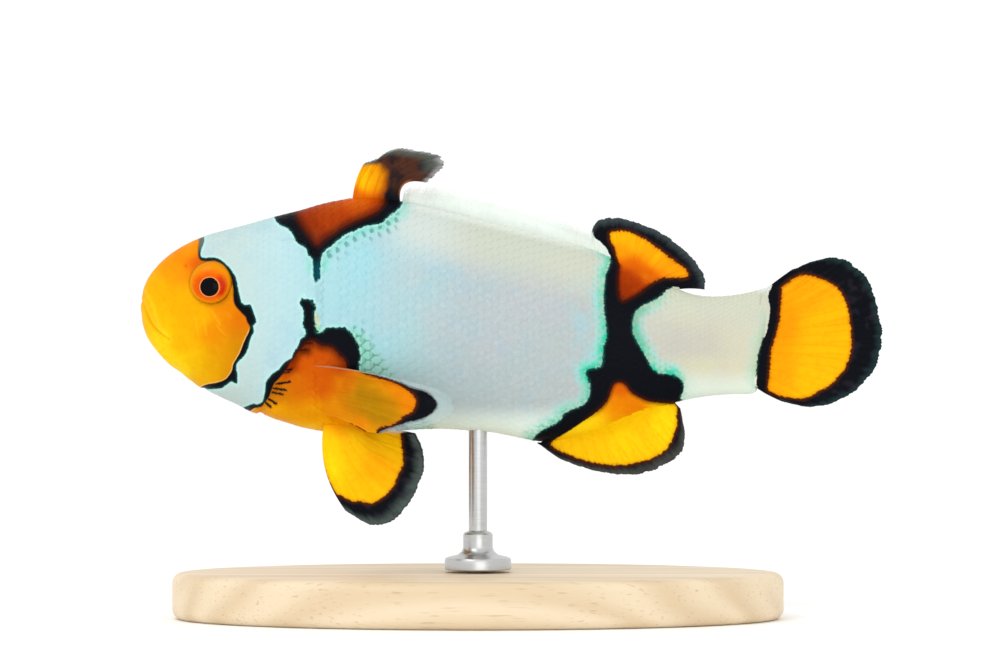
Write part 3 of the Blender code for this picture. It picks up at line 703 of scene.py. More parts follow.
# %% Lay a globe over the fish
def make_skin():
    bpy.ops.object.select_all(action="DESELECT")
    bpy.ops.mesh.primitive_uv_sphere_add(segments=GIRTH, ring_count=RINGS + 1, radius=1.0)
    skin = named("skin")
    globe = points_of(skin)
    ring = np.rint(np.arccos(np.clip(globe[:, 2], -1, 1)) / np.pi * (RINGS + 1)).astype(int) - 1
    turn = np.rint(np.arctan2(globe[:, 1], globe[:, 0]) / (2 * np.pi) * GIRTH).astype(int) % GIRTH
    poles = (ring < 0) | (ring >= RINGS)
    ring = np.clip(ring, 0, RINGS - 1)
    bare_skin = body_places[ring, turn]
    rise, lips = folds(bare_skin)
    fish = bare_skin + body_normals[ring, turn] * rise[:, None]
    first, last = body_places[0].mean(axis=0), body_places[-1].mean(axis=0)
    fish[poles] = np.where(globe[poles, 2:] > 0, first - (0.01, 0, 0), last + (0.02, 0, 0))
    move_points(skin, to_scene(fish))
    fix_normals(skin)
    skin.data.shade_smooth()
    mark(skin)
    lips[poles] = 0
    keep_values(skin, "crease", lips)
    skin.data.uv_layers[0].name = "OFBake"
    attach(skin, "root")
    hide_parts(*FLESH)
    return skin


skin = make_skin()
print("skin:", len(skin.data.polygons), "faces")

# %% [markdown]
# ## Shader maths as Python
#
# A material is a sum over numbers and colours. Placed by hand, its nodes would fill a wall. This
# class wraps one socket, so a sum is written as in Python and each operator adds its Math node.
# Everything else goes through node(), which takes the node's type, its settings, which are set
# first, and the values or links of its sockets. Colours are mixed by mix(), since a Math node would
# turn them grey.

# %% A socket that can be reckoned with
class Wire:
    def __init__(self, tree, socket=None):
        self.tree, self.socket = tree, socket

    def node(self, kind, settings=None, sockets=None, output=0):
        made = self.tree.nodes.new(kind)
        for name, value in (settings or {}).items():
            if name == "stops":
                set_stops(made.color_ramp.elements, value)
            else:
                setattr(made, name, value)
        for name, value in (sockets or {}).items():
            if isinstance(value, Wire):
                self.tree.links.new(value.socket, made.inputs[name])
            else:
                made.inputs[name].default_value = value
        return Wire(self.tree, made.outputs[output])

    def maths(self, operation, *values):
        return self.node("ShaderNodeMath", {"operation": operation}, dict(enumerate(values)))

    def __add__(self, other):
        return self.maths("ADD", self, other)

    def __sub__(self, other):
        return self.maths("SUBTRACT", self, other)

    def __rsub__(self, other):
        return self.maths("SUBTRACT", other, self)

    def __mul__(self, other):
        return self.maths("MULTIPLY", self, other)

    __radd__, __rmul__ = __add__, __mul__

    def step(self, low, high):
        """0 below low, 1 above high, and a soft slope between them."""
        settings = {"interpolation_type": "SMOOTHSTEP"}
        return self.node("ShaderNodeMapRange", settings, {"Value": self, "From Min": low, "From Max": high})

    def fade(self, low, high):
        """1 below low, 0 above high."""
        return 1 - self.step(low, high)

    def band(self, low, full, end, gone):
        """0 below low, 1 from full to end, and 0 again above gone."""
        return self.step(low, full) * self.fade(end, gone)

    def value_of(self, name):
        """A number that is stored on each point of the mesh."""
        return self.node("ShaderNodeAttribute", {"attribute_name": name}, output="Fac")

    def noise(self, size, detail=2.0, vector=None, roughness=0.5):
        """Noise around 0.5 with blobs of a size in millimetres."""
        sockets = {"Scale": 1 / (size * MM), "Detail": detail, "Roughness": roughness}
        return self.node("ShaderNodeTexNoise", None, {"Vector": vector or self.place(), **sockets})

    def place(self):
        return self.node("ShaderNodeTexCoord", output="Object")

    def axes(self):
        split = self.node("ShaderNodeSeparateXYZ", None, {"Vector": self.place()}).socket.node
        return [Wire(self.tree, split.outputs[k]) for k in range(3)]

    def mix(self, start, end, share):
        """A colour on the way from start to end."""
        return self.node("ShaderNodeMix", {"data_type": "RGBA"}, {0: share, 6: start, 7: end}, output=2)

    def ramp(self, stops):
        """Colours through which a value runs, as {position: colour}."""
        return self.node("ShaderNodeValToRGB", {"stops": stops}, {"Fac": self})

    def bump(self, height, strength, depth):
        """A normal that is tilted by a height; depth is in millimetres."""
        sockets = {"Height": height, "Strength": strength, "Distance": depth * MM}
        return self.node("ShaderNodeBump", None, sockets, output="Normal")


def set_stops(elements, stops):
    """A new ramp has two stops, so the first two are moved and the others added."""
    for element, (position, colour) in zip(elements, stops.items()):
        element.position, element.color = position, colour
    for position, colour in list(stops.items())[2:]:
        elements.new(position).color = colour


# %% Colours and empty materials
def linear(value):
    """One of a screen colour's three numbers, 0 to 255, as the light that a shader reckons with."""
    share = value / 255
    return share / 12.92 if value <= 10 else ((share + 0.055) / 1.055) ** 2.4


def ink(red, green, blue):
    return linear(red), linear(green), linear(blue), 1


def new_material(name, **constants):
    """An empty Principled material, its constants by socket name, and a wire to build on."""
    material = bpy.data.materials.new(name)
    material.use_nodes = True
    shader = material.node_tree.nodes["Principled BSDF"]
    for socket, value in constants.items():
        shader.inputs[socket.replace("_", " ")].default_value = value
    return material, shader, Wire(material.node_tree)


def plug(shader, **wires):
    for name, wire in wires.items():
        shader.id_data.links.new(wire.socket, shader.inputs[name.replace("_", " ")])


# %% [markdown]
# ## The orange and the black
#
# The skin's paint is laid on in the order in which it grows: pearl below, then turquoise, black and
# orange. Each layer is one short function, so that scales and fins can use the same ones. The orange
# runs through a ramp by its warmth, with an olive shade, paler lips and darker creases, which are
# painted highlight and painted shade, and soft flecks where it is plain.

# %% Orange
ORANGES = {0.0: ink(248, 212, 6), 0.3: ink(240, 170, 0), 0.5: ink(230, 132, 0), 0.66: ink(214, 98, 0),
           0.85: ink(176, 59, 0), 1.0: ink(136, 40, 0)}
BLACK = ink(8, 11, 18)


def beside(w):
    """How far a place is behind the snout and above it in the side view, mm."""
    x, y, z = w.axes()
    spread = w.maths("DIVIDE", VIEW_FROM, VIEW_FROM - w.maths("ABSOLUTE", y) * (1 / MM))
    middle_x, middle_z = to_scene((VIEW_MIDDLE[0], 0, VIEW_MIDDLE[1]))[[0, 2]]
    behind_snout = (x - float(middle_x)) * (1 / MM) * spread + float(VIEW_MIDDLE[0])
    return behind_snout, (z - float(middle_z)) * (1 / MM) * spread + float(VIEW_MIDDLE[1])


def orange_colour(w):
    """The orange by its warmth, with an olive shade, painted highlight on the lips and painted shade in
    creases.
    """
    orange = w.value_of("warmth").ramp(ORANGES)
    orange = w.mix(orange, ink(146, 112, 0), w.value_of("olive"))
    # Painted highlight on raised lips and folds, and painted shade in the grooves, by the stored crease
    # height.
    crease = w.value_of("crease")
    orange = w.mix(orange, ink(255, 206, 40), crease.step(0.01, 0.08) * 0.35)
    orange = w.mix(orange, ink(190, 128, 0), crease.fade(-0.12, -0.01) * 0.35)
    plain = 1 - w.value_of("warmth").step(0.55, 0.9) * 0.8
    orange = w.mix(orange, ink(255, 186, 10), w.noise(1.6, 2.0).step(0.45, 0.8) * plain * 0.16)
    return w.mix(orange, ink(206, 116, 0), w.noise(0.55, 3.0).step(0.4, 0.75) * plain * 0.16)


print("the orange runs through", len(ORANGES), "shades")

# %% [markdown]
# The comb at the gill's edge is cut out of the orange by distance: each stroke is a straight line
# with a ragged border, and whatever is nearer than that stays black.

# %% The comb
def stroke(w, behind_snout, above, start, end):
    """How far a place is from a straight stroke, mm."""
    length = math.dist(start, end)
    along_x, along_z = (end[0] - start[0]) / length, (end[1] - start[1]) / length
    right, up = behind_snout - start[0], above - start[1]
    share = w.maths("MINIMUM", w.maths("MAXIMUM", right * along_x + up * along_z, 0.0), length)
    right, up = right - share * along_x, up - share * along_z
    return w.maths("SQRT", right * right + up * up)


def comb(w, behind_snout, above, in_orange):
    """Cuts the short black strokes of the gill's edge out of the orange."""
    ragged = (w.noise(0.25, 2.0) - 0.5) * 0.3 + 0.09
    for start, end in GILL_COMB:
        in_orange = w.maths("MINIMUM", in_orange, stroke(w, behind_snout, above, start, end) - ragged)
    return in_orange


# %% [markdown]
# ## Pearl
#
# The white of this fish is never plain white: it is blue on the gill cover, grey on the middle,
# cream on the tail stem, olive on the back and almost clear at the belly. The belly's pale is partly
# the fish's own and partly painted light on the underside, which gets less light. A ramp from snout
# to tail carries the main change, and soft zones, each named for its place, are mixed over it. All the
# distances are millimetres behind the snout and above it, so a zone can be found on the fish.

# %% Pearl
def pearl_colour(w, behind_snout, above):
    """The white of the body by its place."""
    length = (behind_snout * (1 / 80)).ramp({
        0.0: ink(184, 202, 198), 0.13: ink(182, 203, 200), 0.19: ink(174, 207, 211), 0.25: ink(158, 202, 208),
        0.31: ink(150, 202, 210), 0.37: ink(163, 196, 199), 0.44: ink(168, 185, 188), 0.6: ink(174, 182, 181),
        0.68: ink(190, 192, 178), 0.75: ink(202, 200, 174), 0.85: ink(210, 206, 172)})
    clouds = w.noise(6.0, 1.0).step(0.42, 0.66) * behind_snout.step(18.0, 30.0)
    pearl = w.mix(length, ink(188, 180, 186), clouds * 0.3)
    shimmer = w.noise(4.0, 2.0, roughness=0.6).step(0.5, 0.75)
    pearl = w.mix(pearl, ink(146, 186, 206), shimmer * 0.3 * behind_snout.fade(46.0, 54.0))
    pearl = w.mix(pearl, ink(202, 218, 220), w.noise(0.5, 2.0).step(0.4, 0.75) * 0.16)
    up_back = above - (behind_snout * -0.24 + 13.4)  # over a line that slopes with the back
    back = up_back.step(-2.4, 2.4) * behind_snout.step(24.0, 30.0)
    olive_back = w.mix(ink(200, 207, 200), ink(194, 198, 180), behind_snout.step(31.0, 37.0))
    pearl = w.mix(pearl, olive_back, back * 0.85)
    lit_edge = up_back.step(4.0, 4.9) * behind_snout.step(28.0, 30.0)
    pearl = w.mix(pearl, ink(222, 229, 221), lit_edge * 0.6)
    waist = behind_snout.band(54.0, 58.0, 61.0, 66.0) * (above + 6.2).step(0.0, 1.8)
    pearl = w.mix(pearl, ink(178, 174, 176), waist * above.fade(-3.4, 0.0) * 0.45)
    # Paler towards the belly: partly the fish's own paler underside, partly painted light on the underside,
    # which gets less light.
    belly = 1 - (above + 13.2 - behind_snout.step(43.0, 58.0) * 4.0).step(0.0, 3.2)
    belly = belly * behind_snout.step(22.0, 30.0) * (1 - behind_snout.step(50.0, 58.0) * 0.35)
    pearl = w.mix(pearl, ink(226, 243, 236), belly)
    cyan = behind_snout.band(45.5, 48.5, 49.4, 50.0) * above.fade(1.5, 4.5) * above.step(-8.0, -5.0)
    pearl = w.mix(pearl, ink(140, 206, 218), cyan * w.noise(2.0, 1.0).step(0.3, 0.6) * 0.4)
    return sliver(w, pearl, behind_snout, above)


def sliver(w, pearl, behind_snout, above):
    """The narrow yellow and green gleam behind the gill slit."""
    off = behind_snout - (above * -0.2 + 18.74)
    gleam = off.fade(0.1, 0.5) * above.step(-2.9, -2.5) * above.fade(-0.9, -0.1) * off.step(-1.0, -0.6)
    colour = w.mix(ink(208, 178, 66), ink(104, 196, 60), (above * -1).step(1.8, 2.3))
    return w.mix(pearl, colour, gleam)


# %% [markdown]
# ## Turquoise
#
# Where pearl meets black, light comes back out of the skin as a turquoise glow: narrow and strong
# along the rear band, broad and faint at the nape, and none on the head. Its width follows the
# depth in the black, which is less than 0 outside it. On scales there is more to see: each one has a
# darker heart that shrinks away from the black, and behind the pectoral fin each has a dark rim,
# like a net. The hearts lie a little off centre and unevenly, because real ones do.

# %% The glow beside the black
def glow_beside_black(w, pearl, in_black, behind_snout, above, head, rear, at_gill):
    stem = behind_snout.step(51.0, 53.0)
    patchy = w.noise(2.2, 2.0).step(0.25, 0.6) * 0.5 + 0.5
    streaky = w.noise(0.35, 2.0).step(0.32, 0.62) * 0.6 + 0.4
    glow = (in_black * -0.5).ramp({
        0.0: ink(12, 106, 88), 0.05: ink(44, 184, 148), 0.18: ink(72, 200, 166), 0.4: ink(124, 210, 194),
        0.6: ink(146, 210, 208), 1.0: ink(158, 206, 206)})
    glowing = in_black.step(-1.9, -0.3) * patchy * (1 - head) * (1 - at_gill)
    strength = rear * 0.4 + 0.55 - stem * above.step(-1.0, 1.0) * 0.4
    strength = strength + behind_snout.step(23.0, 26.0) * (1 - rear) * 0.3
    strength = strength + rear * above.fade(-3.5, -1.5) * above.step(-9.0, -7.5) * 0.45
    glowing = glowing * strength * (1 - behind_snout.step(57.4, 59.4) * 0.75)
    glowing = glowing * (1 - behind_snout.step(55.5, 58.0) * above.step(-1.0, 1.0))
    pearl = w.mix(pearl, glow, glowing * streaky)
    mossy = in_black.step(-1.5, -0.3) * stem * above.step(-5.0, -3.5) * above.fade(-0.5, 0.8)
    pearl = w.mix(pearl, ink(112, 152, 122), mossy * behind_snout.fade(54.6, 55.6) * (1.4 - streaky) * 0.6)
    return w.mix(pearl, ink(176, 226, 222), in_black.step(-0.4, -0.1) * (1 - rear) * 0.6)


# %% Hearts and rims of the scales there
def hearts_and_rims(w, pearl, in_black, behind_snout, above, tip, across, head, rear, at_gill):
    wobble = w.noise(0.5, 2.0)
    off_centre = tip - 0.66 - across * 0.16 + (w.noise(0.9, 1.0) - 0.5) * 0.3
    heart = off_centre * off_centre * 8.0 + across * across * 1.2 + (wobble - 0.5) * 0.5
    depth = in_black.step(-2.7, -0.7) * behind_snout.step(19.2, 20.2) * w.noise(1.8, 1.0).step(0.2, 0.42)
    depth = depth * (1 - rear * 0.55) * behind_snout.fade(57.0, 60.0) * (1 - at_gill)
    depth = depth * (1 - rear * above.fade(-9.0, -7.0)) * (1 - behind_snout.step(27.6, 28.8) * (1 - rear))
    dark = heart.fade(depth * 0.3, depth * 0.6 + 0.2) * depth * in_black.fade(-0.3, -0.15)
    pearl = w.mix(pearl, w.mix(ink(132, 184, 174), ink(76, 124, 118), depth), dark * 0.68)
    slant = behind_snout + above * 0.75
    net = above.fade(-3.0, -2.2) * slant.fade(21.4, 22.8) * in_black.step(-4.4, -2.2) * (1 - head)
    pearl = w.mix(pearl, ink(140, 200, 174), net * 0.55)
    rims = tip.step(0.72, 0.9) + w.maths("ABSOLUTE", across).step(0.5, 0.8) + (wobble - 0.6)
    return w.mix(pearl, ink(66, 118, 98), net * rims.step(0.15, 1.0) * 0.62)


def turquoise(w, pearl, in_black, behind_snout, above, tip, across):
    """The glow, and on scales also their hearts and rims."""
    head = behind_snout.fade(17.0, 18.6)
    rear = behind_snout.step(40.0, 46.0)
    at_gill = behind_snout.fade(22.6, 24.2) * above.step(-2.2, -1.6) * above.fade(3.2, 4.6)
    pearl = glow_beside_black(w, pearl, in_black, behind_snout, above, head, rear, at_gill)
    if tip is None:
        return pearl
    return hearts_and_rims(w, pearl, in_black, behind_snout, above, tip, across, head, rear, at_gill)


# %% [markdown]
# ## All the colours of the fish
#
# The borders of black and orange are roughened by noise, less on the head, whose edges are sharp.
# Towards the black the orange darkens, and the black browns towards the orange. A few small touches
# belong to one place each, and they are what makes the face: a painted highlight of pale orange along
# the cheek's lower edge, a brown ring round the eye, a teal tip at the nape's point and a grey haze
# over the forehead. Under the body by the anal fin's root, painted light turns the orange yellower
# where the body curves under and gets less light.

# %% Skin colour
def edged_orange(w, in_orange, behind_snout, above, high, at_rear):
    """The orange with dark edges, the eye's ring, a painted highlight on the cheek, painted light by the anal
    fin.
    """
    edge = in_orange.fade(-0.02, 0.2) * 0.5 * (1 - high) + in_orange.fade(-0.1, 1.1) * high * 0.85
    edge = w.maths("MAXIMUM", edge, in_orange.fade(-0.1, 0.5) * at_rear * 0.85)
    orange = w.mix(orange_colour(w), ink(58, 10, 0), edge)
    ring_x, ring_z = behind_snout - float(EYE_SIDE[0]), above - float(EYE_SIDE[1])
    ring = w.maths("SQRT", ring_x * ring_x + ring_z * ring_z) + (w.noise(0.5, 2.0) - 0.5) * 0.3
    orange = w.mix(orange, ink(158, 108, 0), ring.band(2.1, 2.3, 2.35, 2.7) * 0.5)
    # Painted highlight: a thin pale orange line just inside the orange's edge low on the cheek, where that
    # edge catches the light.
    low_cheek = above.fade(-2.5, -2.0) * behind_snout.fade(12.3, 12.6)
    cheek_edge_highlight = in_orange.band(0.0, 0.05, 0.1, 0.17) * low_cheek
    orange = w.mix(orange, ink(250, 200, 120), cheek_edge_highlight * 0.7)
    # Painted light: yellower orange on the body's underside by the anal fin's root, where the body curves
    # under into shade.
    anal = behind_snout.step(44.5, 46.5) * above.fade(-12.2, -10.6) * behind_snout.fade(49.5, 51.5)
    return w.mix(orange, ink(255, 220, 20), anal * 0.6)


def shaded_black(w, in_black, in_orange, behind_snout, above, brown):
    """The black: green at its outer edge, teal at the nape's tip, brown by the orange, grey in front."""
    black = w.mix(ink(6, 62, 58), BLACK, in_black.step(0.0, 0.3))
    nape_tip = behind_snout.band(17.5, 18.4, 19.8, 20.6) * above.step(2.6, 3.0)
    black = w.mix(black, ink(0, 70, 80), nape_tip * above.fade(4.2, 5.8) * 0.9)
    black = w.mix(black, ink(62, 15, 4), in_orange.step(-0.5, -0.05) * brown * 0.75)
    forehead = above.step(5.6, 7.0) * behind_snout.fade(8.5, 10.0)
    return w.mix(black, ink(104, 118, 108), forehead * 0.75)


def fish_colour(w, tip=None, across=None):
    """Pearl, turquoise, black and orange, laid over each other; tip and across are a scale's own."""
    behind_snout, above = beside(w)
    calm = behind_snout.step(12.0, 22.0) * 0.6 + 0.4
    rough = ((w.noise(0.3, 3.0, roughness=0.65) - 0.5) * 0.6 + (w.noise(1.1, 1.0) - 0.5) * 0.25) * calm
    in_black = w.value_of("in_black") + rough * 0.8
    in_orange = comb(w, behind_snout, above, w.value_of("in_orange") + rough * 0.35)
    pearl = pearl_colour(w, behind_snout, above)
    pearl = turquoise(w, pearl, in_black, behind_snout, above, tip, across)
    high = behind_snout.band(13.0, 15.0, 30.0, 32.0) * above.step(-8.0, -5.0)  # nape and upper breast
    at_rear = behind_snout.band(47.0, 49.0, 62.0, 64.0)
    orange = edged_orange(w, in_orange, behind_snout, above, high, at_rear)
    black = shaded_black(w, in_black, in_orange, behind_snout, above, high + at_rear)
    colour = w.mix(pearl, black, in_black.step(-0.08, 0.06))
    return w.mix(colour, orange, in_orange.step(-0.06, 0.06))


def skin_material():
    material, shader, w = new_material("fish skin", Roughness=0.4, Specular_IOR_Level=0.04)
    plug(shader, Base_Color=fish_colour(w), Normal=w.bump(w.noise(0.16, 3.0), 0.25, 0.04))
    return material


skin.data.materials.append(skin_material())
print("nodes in the skin's material:", len(skin.data.materials[0].node_tree.nodes))

# %% [markdown]
# ## The scales
#
# A scale is a thin plate with a square root and a round tip, set in the skin at its root and lying
# back over the next row. Scattering scales on the faces of the skin would break their rows, so one
# plate is modelled flat and then copied along rows: each copy is laid through the table of places,
# so that it bends with the body. It has only a few faces, because there will be thousands of it.

# %% One scale
def one_scale():
    """A flat plate 2 long and 2 across, root at x = -1, tip at x = 1, and its points and faces."""
    bpy.ops.object.select_all(action="DESELECT")
    bpy.ops.mesh.primitive_grid_add(x_subdivisions=4, y_subdivisions=3, size=2)
    plate = named("one scale")
    solid = plate.modifiers.new("thickness", "SOLIDIFY")
    solid.thickness, solid.offset = 1.0, 1.0
    apply_modifiers(plate)
    fix_normals(plate)
    points = points_of(plate)
    faces = np.array([tuple(face.vertices) for face in plate.data.polygons])
    bpy.data.objects.remove(plate)
    return points, faces


SCALE_POINTS, SCALE_FACES = one_scale()
print("one scale:", len(SCALE_POINTS), "points,", len(SCALE_FACES), "faces")

# %% [markdown]
# The rows follow the girth: fewer and larger scales on the flank, smaller ones on the head and the
# stem, and every other row shifted by half a scale. The face, the ring of the eye, the gill slit,
# the bases of the fins and the rod's place stay bare, as the first four do on a real clownfish.

# %% Rows of roots
SCALE_ZONES = [(7.0, 19.2, 66), (19.2, 50.0, 58), (50.0, 67.0, 46)]  # from, to, and scales round the body
ROW_PITCH = 0.86  # from row to row, as a share of the way from scale to scale
BARE_SPOTS = [(EYE_BEHIND, EYE_ABOVE, 3.3), (19.2, -7.2, 1.6), (19.8, -9.2, 2.0), (20.8, -11.0, 1.6),
              (ROD_BEHIND, -12.5, 1.6)]  # behind the snout, above it, and radius
FACE_MARGIN, GILL_MARGIN = 0.35, 0.3  # how far scales keep from the face and from the gill slit, mm

flank = body_places[:, GIRTH // 4]
run = run_of(flank)  # how far each ring is along the flank, mm


def scale_roots():
    """For every scale: how far along the flank its root is, its girth share, and both pitches."""
    roots = []
    row = 0
    for start, end, count in SCALE_ZONES:
        here = np.interp(start, flank[:, 0], run)
        while here < np.interp(end, flank[:, 0], run):
            girth = np.interp(here, run, girths)
            pitch = ROW_PITCH * girth / count
            for k in range(count):
                roots.append((here, (k + 0.5 * (row % 2)) / count, pitch, girth / count))
            here += pitch
            row += 1
    return np.array(roots)


def bare(fish):
    """Where no scale grows."""
    sides = side_view(fish)
    none = depth_inside(sides, BODY_ORANGE[0]) > -FACE_MARGIN
    for behind_snout, above, radius in BARE_SPOTS:
        near = np.hypot(sides[:, 0] - behind_snout, sides[:, 1] - above) < radius
        under_belly = above < -12  # there a spot is bare only close to the middle plane
        none |= near & (np.abs(fish[:, 1]) < radius) if under_belly else near
    return none | (distance_to(sides, smooth_line(GILL_EDGE)) < GILL_MARGIN)


roots = scale_roots()
root_rings = np.interp(roots[:, 0], run, np.arange(RINGS))
root_places = on_body(root_rings, roots[:, 1], np.zeros(len(roots)))
roots = roots[~bare(root_places)]
print("scales:", len(roots))

# %% [markdown]
# Each root is sunk a little into the skin, and each tip stands a little over it, so that the rows
# catch the light. Sizes differ by a few hundredths, from a seeded generator, so that the coat is the
# same each time. In the UV map every scale is a small patch at its root's place on an unwrap of the
# body, so a colour that is baked stays in the right place.

# %% Lay the scales
PLATE = 0.03  # thickness of a scale, mm
TIP_LIFT, ROOT_SINK, ARCH = 0.075, 0.03, 0.02  # how far the tip rises, the root sinks, the middle bulges
OVERLAP = 2.15  # a scale's length in row pitches
HALF_WIDTH = 0.6  # in pitches round the body
PATCH = 0.003  # of the UV map
rng = np.random.default_rng(7)


def lay_scales(name, roots):
    """Copies the plate to every root; its sides draw in towards a round tip."""
    x, y, upper = SCALE_POINTS[:, 0], SCALE_POINTS[:, 1], SCALE_POINTS[:, 2] > 0.5
    tip = np.maximum(x, 0)
    long = x * (1 - 0.38 * tip * y**2) * 0.5 + 0.5
    wide = y * (1 - 0.32 * tip**3) * (1 - 0.12 * np.maximum(-x, 0))
    here, share, pitch, across = (roots[:, k, None] for k in range(4))
    size = rng.uniform(0.96, 1.04, (len(roots), 1))
    ring = np.interp(here + long * pitch * OVERLAP * size, run, np.arange(RINGS)).ravel()
    turn = (share + wide * across * HALF_WIDTH * size / np.interp(here, run, girths)).ravel()
    lift = TIP_LIFT * (0.45 + 0.55 * ease(here, 17.0, 20.0))  # flatter on the head
    rise = -ROOT_SINK + lift * long * size + ARCH * (1 - y**2) + PLATE * (upper - 0.5)
    ground = on_body(ring, turn, np.zeros(ring.size))
    laid = on_body(ring, turn, rise.ravel() + folds(ground)[0])
    count = len(roots)
    faces = (SCALE_FACES[None] + (np.arange(count) * len(SCALE_POINTS))[:, None, None]).reshape(-1, 4)
    mesh = bpy.data.meshes.new(name)
    mesh.from_pydata(to_scene(laid), [], faces)
    coat = into_scene(name, mesh)
    mark(coat)
    keep_values(coat, "tip", np.tile(x, count))
    keep_values(coat, "across", np.tile(y, count))
    patch = np.column_stack((np.tile(y, count), np.tile(x, count))) * PATCH / 2
    root_ring = np.interp(here.ravel(), run, np.arange(RINGS)) / RINGS
    root_uv = np.column_stack((share.ravel(), root_ring))
    corners = (patch + np.repeat(root_uv, len(x), axis=0))[faces.ravel()]
    mesh.uv_layers.new(name="OFBake").data.foreach_set("uv", corners.ravel())
    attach(coat, "root")
    return coat


left_side = roots[:, 1] < 0.5
coats = [lay_scales("scales_left", roots[left_side]), lay_scales("scales_right", roots[~left_side])]
print("triangles in a side's scales:", len(coats[0].data.polygons) * 2)

# %% [markdown]
# A scale grows by rings, which show as fine ridges across it. They are far finer than the mesh, so
# they are left to a bump, over the same colours as the skin's.

# %% Scale colour
def scale_material():
    material, shader, w = new_material("fish scales", Roughness=0.38, Specular_IOR_Level=0.04)
    tip, across = w.value_of("tip"), w.value_of("across")
    growth = w.maths("SINE", tip * 26.0) * 0.5 + 0.5
    ridges = w.bump(growth * 0.4 + w.noise(0.2, 2.0), 0.25, 0.03)
    plug(shader, Base_Color=fish_colour(w, tip, across), Normal=ridges)
    return material


scale_colour = scale_material()
for coat in coats:
    coat.data.materials.append(scale_colour)

# %% [markdown]
# ## The fins
#
# A fin is a fan: bony rays that start close together at the root, bend over and spread, and fork
# twice on the way to the edge, with thin skin between them. Separate rays on a sheet would show
# their joints. So one flat grid is laid over the whole fan, which three smooth lines hold: where the
# rays start, where they lean to, and where they end. Its edge is frayed, and a Solidify modifier
# thickens it by a weight on its points: thick at the root, thin in the web, ribbed along the rays.

# %% A fan of rays
def ray_pattern(spread, reach, rays):
    """1 on a ray and 0 on the web between two; each ray forks twice on its way out."""
    off = np.abs((spread * rays) % 1.0 - 0.5)
    first = np.abs(off - 0.2 * ease(reach, 0.3, 0.75))
    second = np.abs(first - 0.09 * ease(reach, 0.6, 1.0))
    return hill(second, 0.14 - 0.07 * reach)


RIPPLE = 0.12  # how far the edge of a fin waves to either side, mm


def fan(name, lines, rays, thick, rows=56, columns=16, notch=0.03, mirror=False):
    """A fin through its (root, knee, tip) lines; thick is (root, web, ray) in mm, and notch the
    share of a ray by which the edge is frayed."""
    bpy.ops.object.select_all(action="DESELECT")
    bpy.ops.mesh.primitive_grid_add(x_subdivisions=rays * columns, y_subdivisions=rows, size=1)
    made = named(name)
    grid = points_of(made)
    spread, reach = grid[:, 0] + 0.5, grid[:, 1] + 0.5
    ridge = ray_pattern(spread, reach, rays)
    teeth = ray_pattern(spread, np.ones(len(spread)), rays)
    number = spread * rays
    wave = 0.5 + 0.3 * np.sin(number * 1.7 + 1.0) * np.sin(number * 0.6) + 0.2 * np.sin(number * 4.9)
    frayed = 0.5 + 0.5 * np.sin(number * 11.3 + 1.0) * np.sin(number * 3.7)
    t = (reach * (1 - notch * (0.4 * (1 - teeth) + 0.9 * wave + 0.3 * frayed)))[:, None]
    root, knee, tip = (along(line, spread) for line in lines)
    fish = root * (1 - t) ** 2 + knee * 2 * t * (1 - t) + tip * t**2
    fish[:, 1] += RIPPLE * reach * np.sin(number * 1.9 + 0.7)
    if mirror:
        fish[:, 1] *= -1
    move_points(made, to_scene(fish))
    at_root, web, ray = thick
    thickness = web + ray * ridge * (1 - 0.6 * reach) * ease(reach, 0.08, 0.45)
    thickness += (at_root - web) * (1 - ease(reach, 0.0, 0.45)) ** 1.8
    group = made.vertex_groups.new(name="thickness")
    most = thickness.max()
    for index, share in enumerate(thickness / most):
        group.add([index], float(share), "REPLACE")
    for key, values in (("spread", number), ("reach", reach), ("ridge", ridge)):
        keep_values(made, key, values)
    return made, fish, most


def thicken(made, most):
    """Turns the flat fan into a closed plate, and gives each of its two sides half of the UV map."""
    faces = len(made.data.polygons)
    solid = made.modifiers.new("thickness", "SOLIDIFY")
    solid.thickness, solid.offset, solid.vertex_group = most * MM, 0.0, "thickness"
    apply_modifiers(made)
    made.vertex_groups.clear()
    fix_normals(made)
    made.data.shade_smooth()
    layer = made.data.uv_layers[0]
    layer.name = "OFBake"
    corners = np.empty(len(layer.data) * 2)
    layer.data.foreach_get("uv", corners)
    corners = corners.reshape(-1, 2)
    back = np.arange(len(corners)) >= faces * 4
    corners[:, 0] = corners[:, 0] * 0.49 + 0.5 * back
    layer.data.foreach_set("uv", corners.ravel())


# %% [markdown]
# ### The lines of the fins
#
# Each fin is three lines of places (behind the snout, out, above): where its rays start on the body,
# where they lean to halfway, and where they end. The first dorsal spines curl over to one side like
# a flag, a low clear frill follows them along the back, and the pectoral fin stands well out from
# the flank, which is why its places have the largest second number.

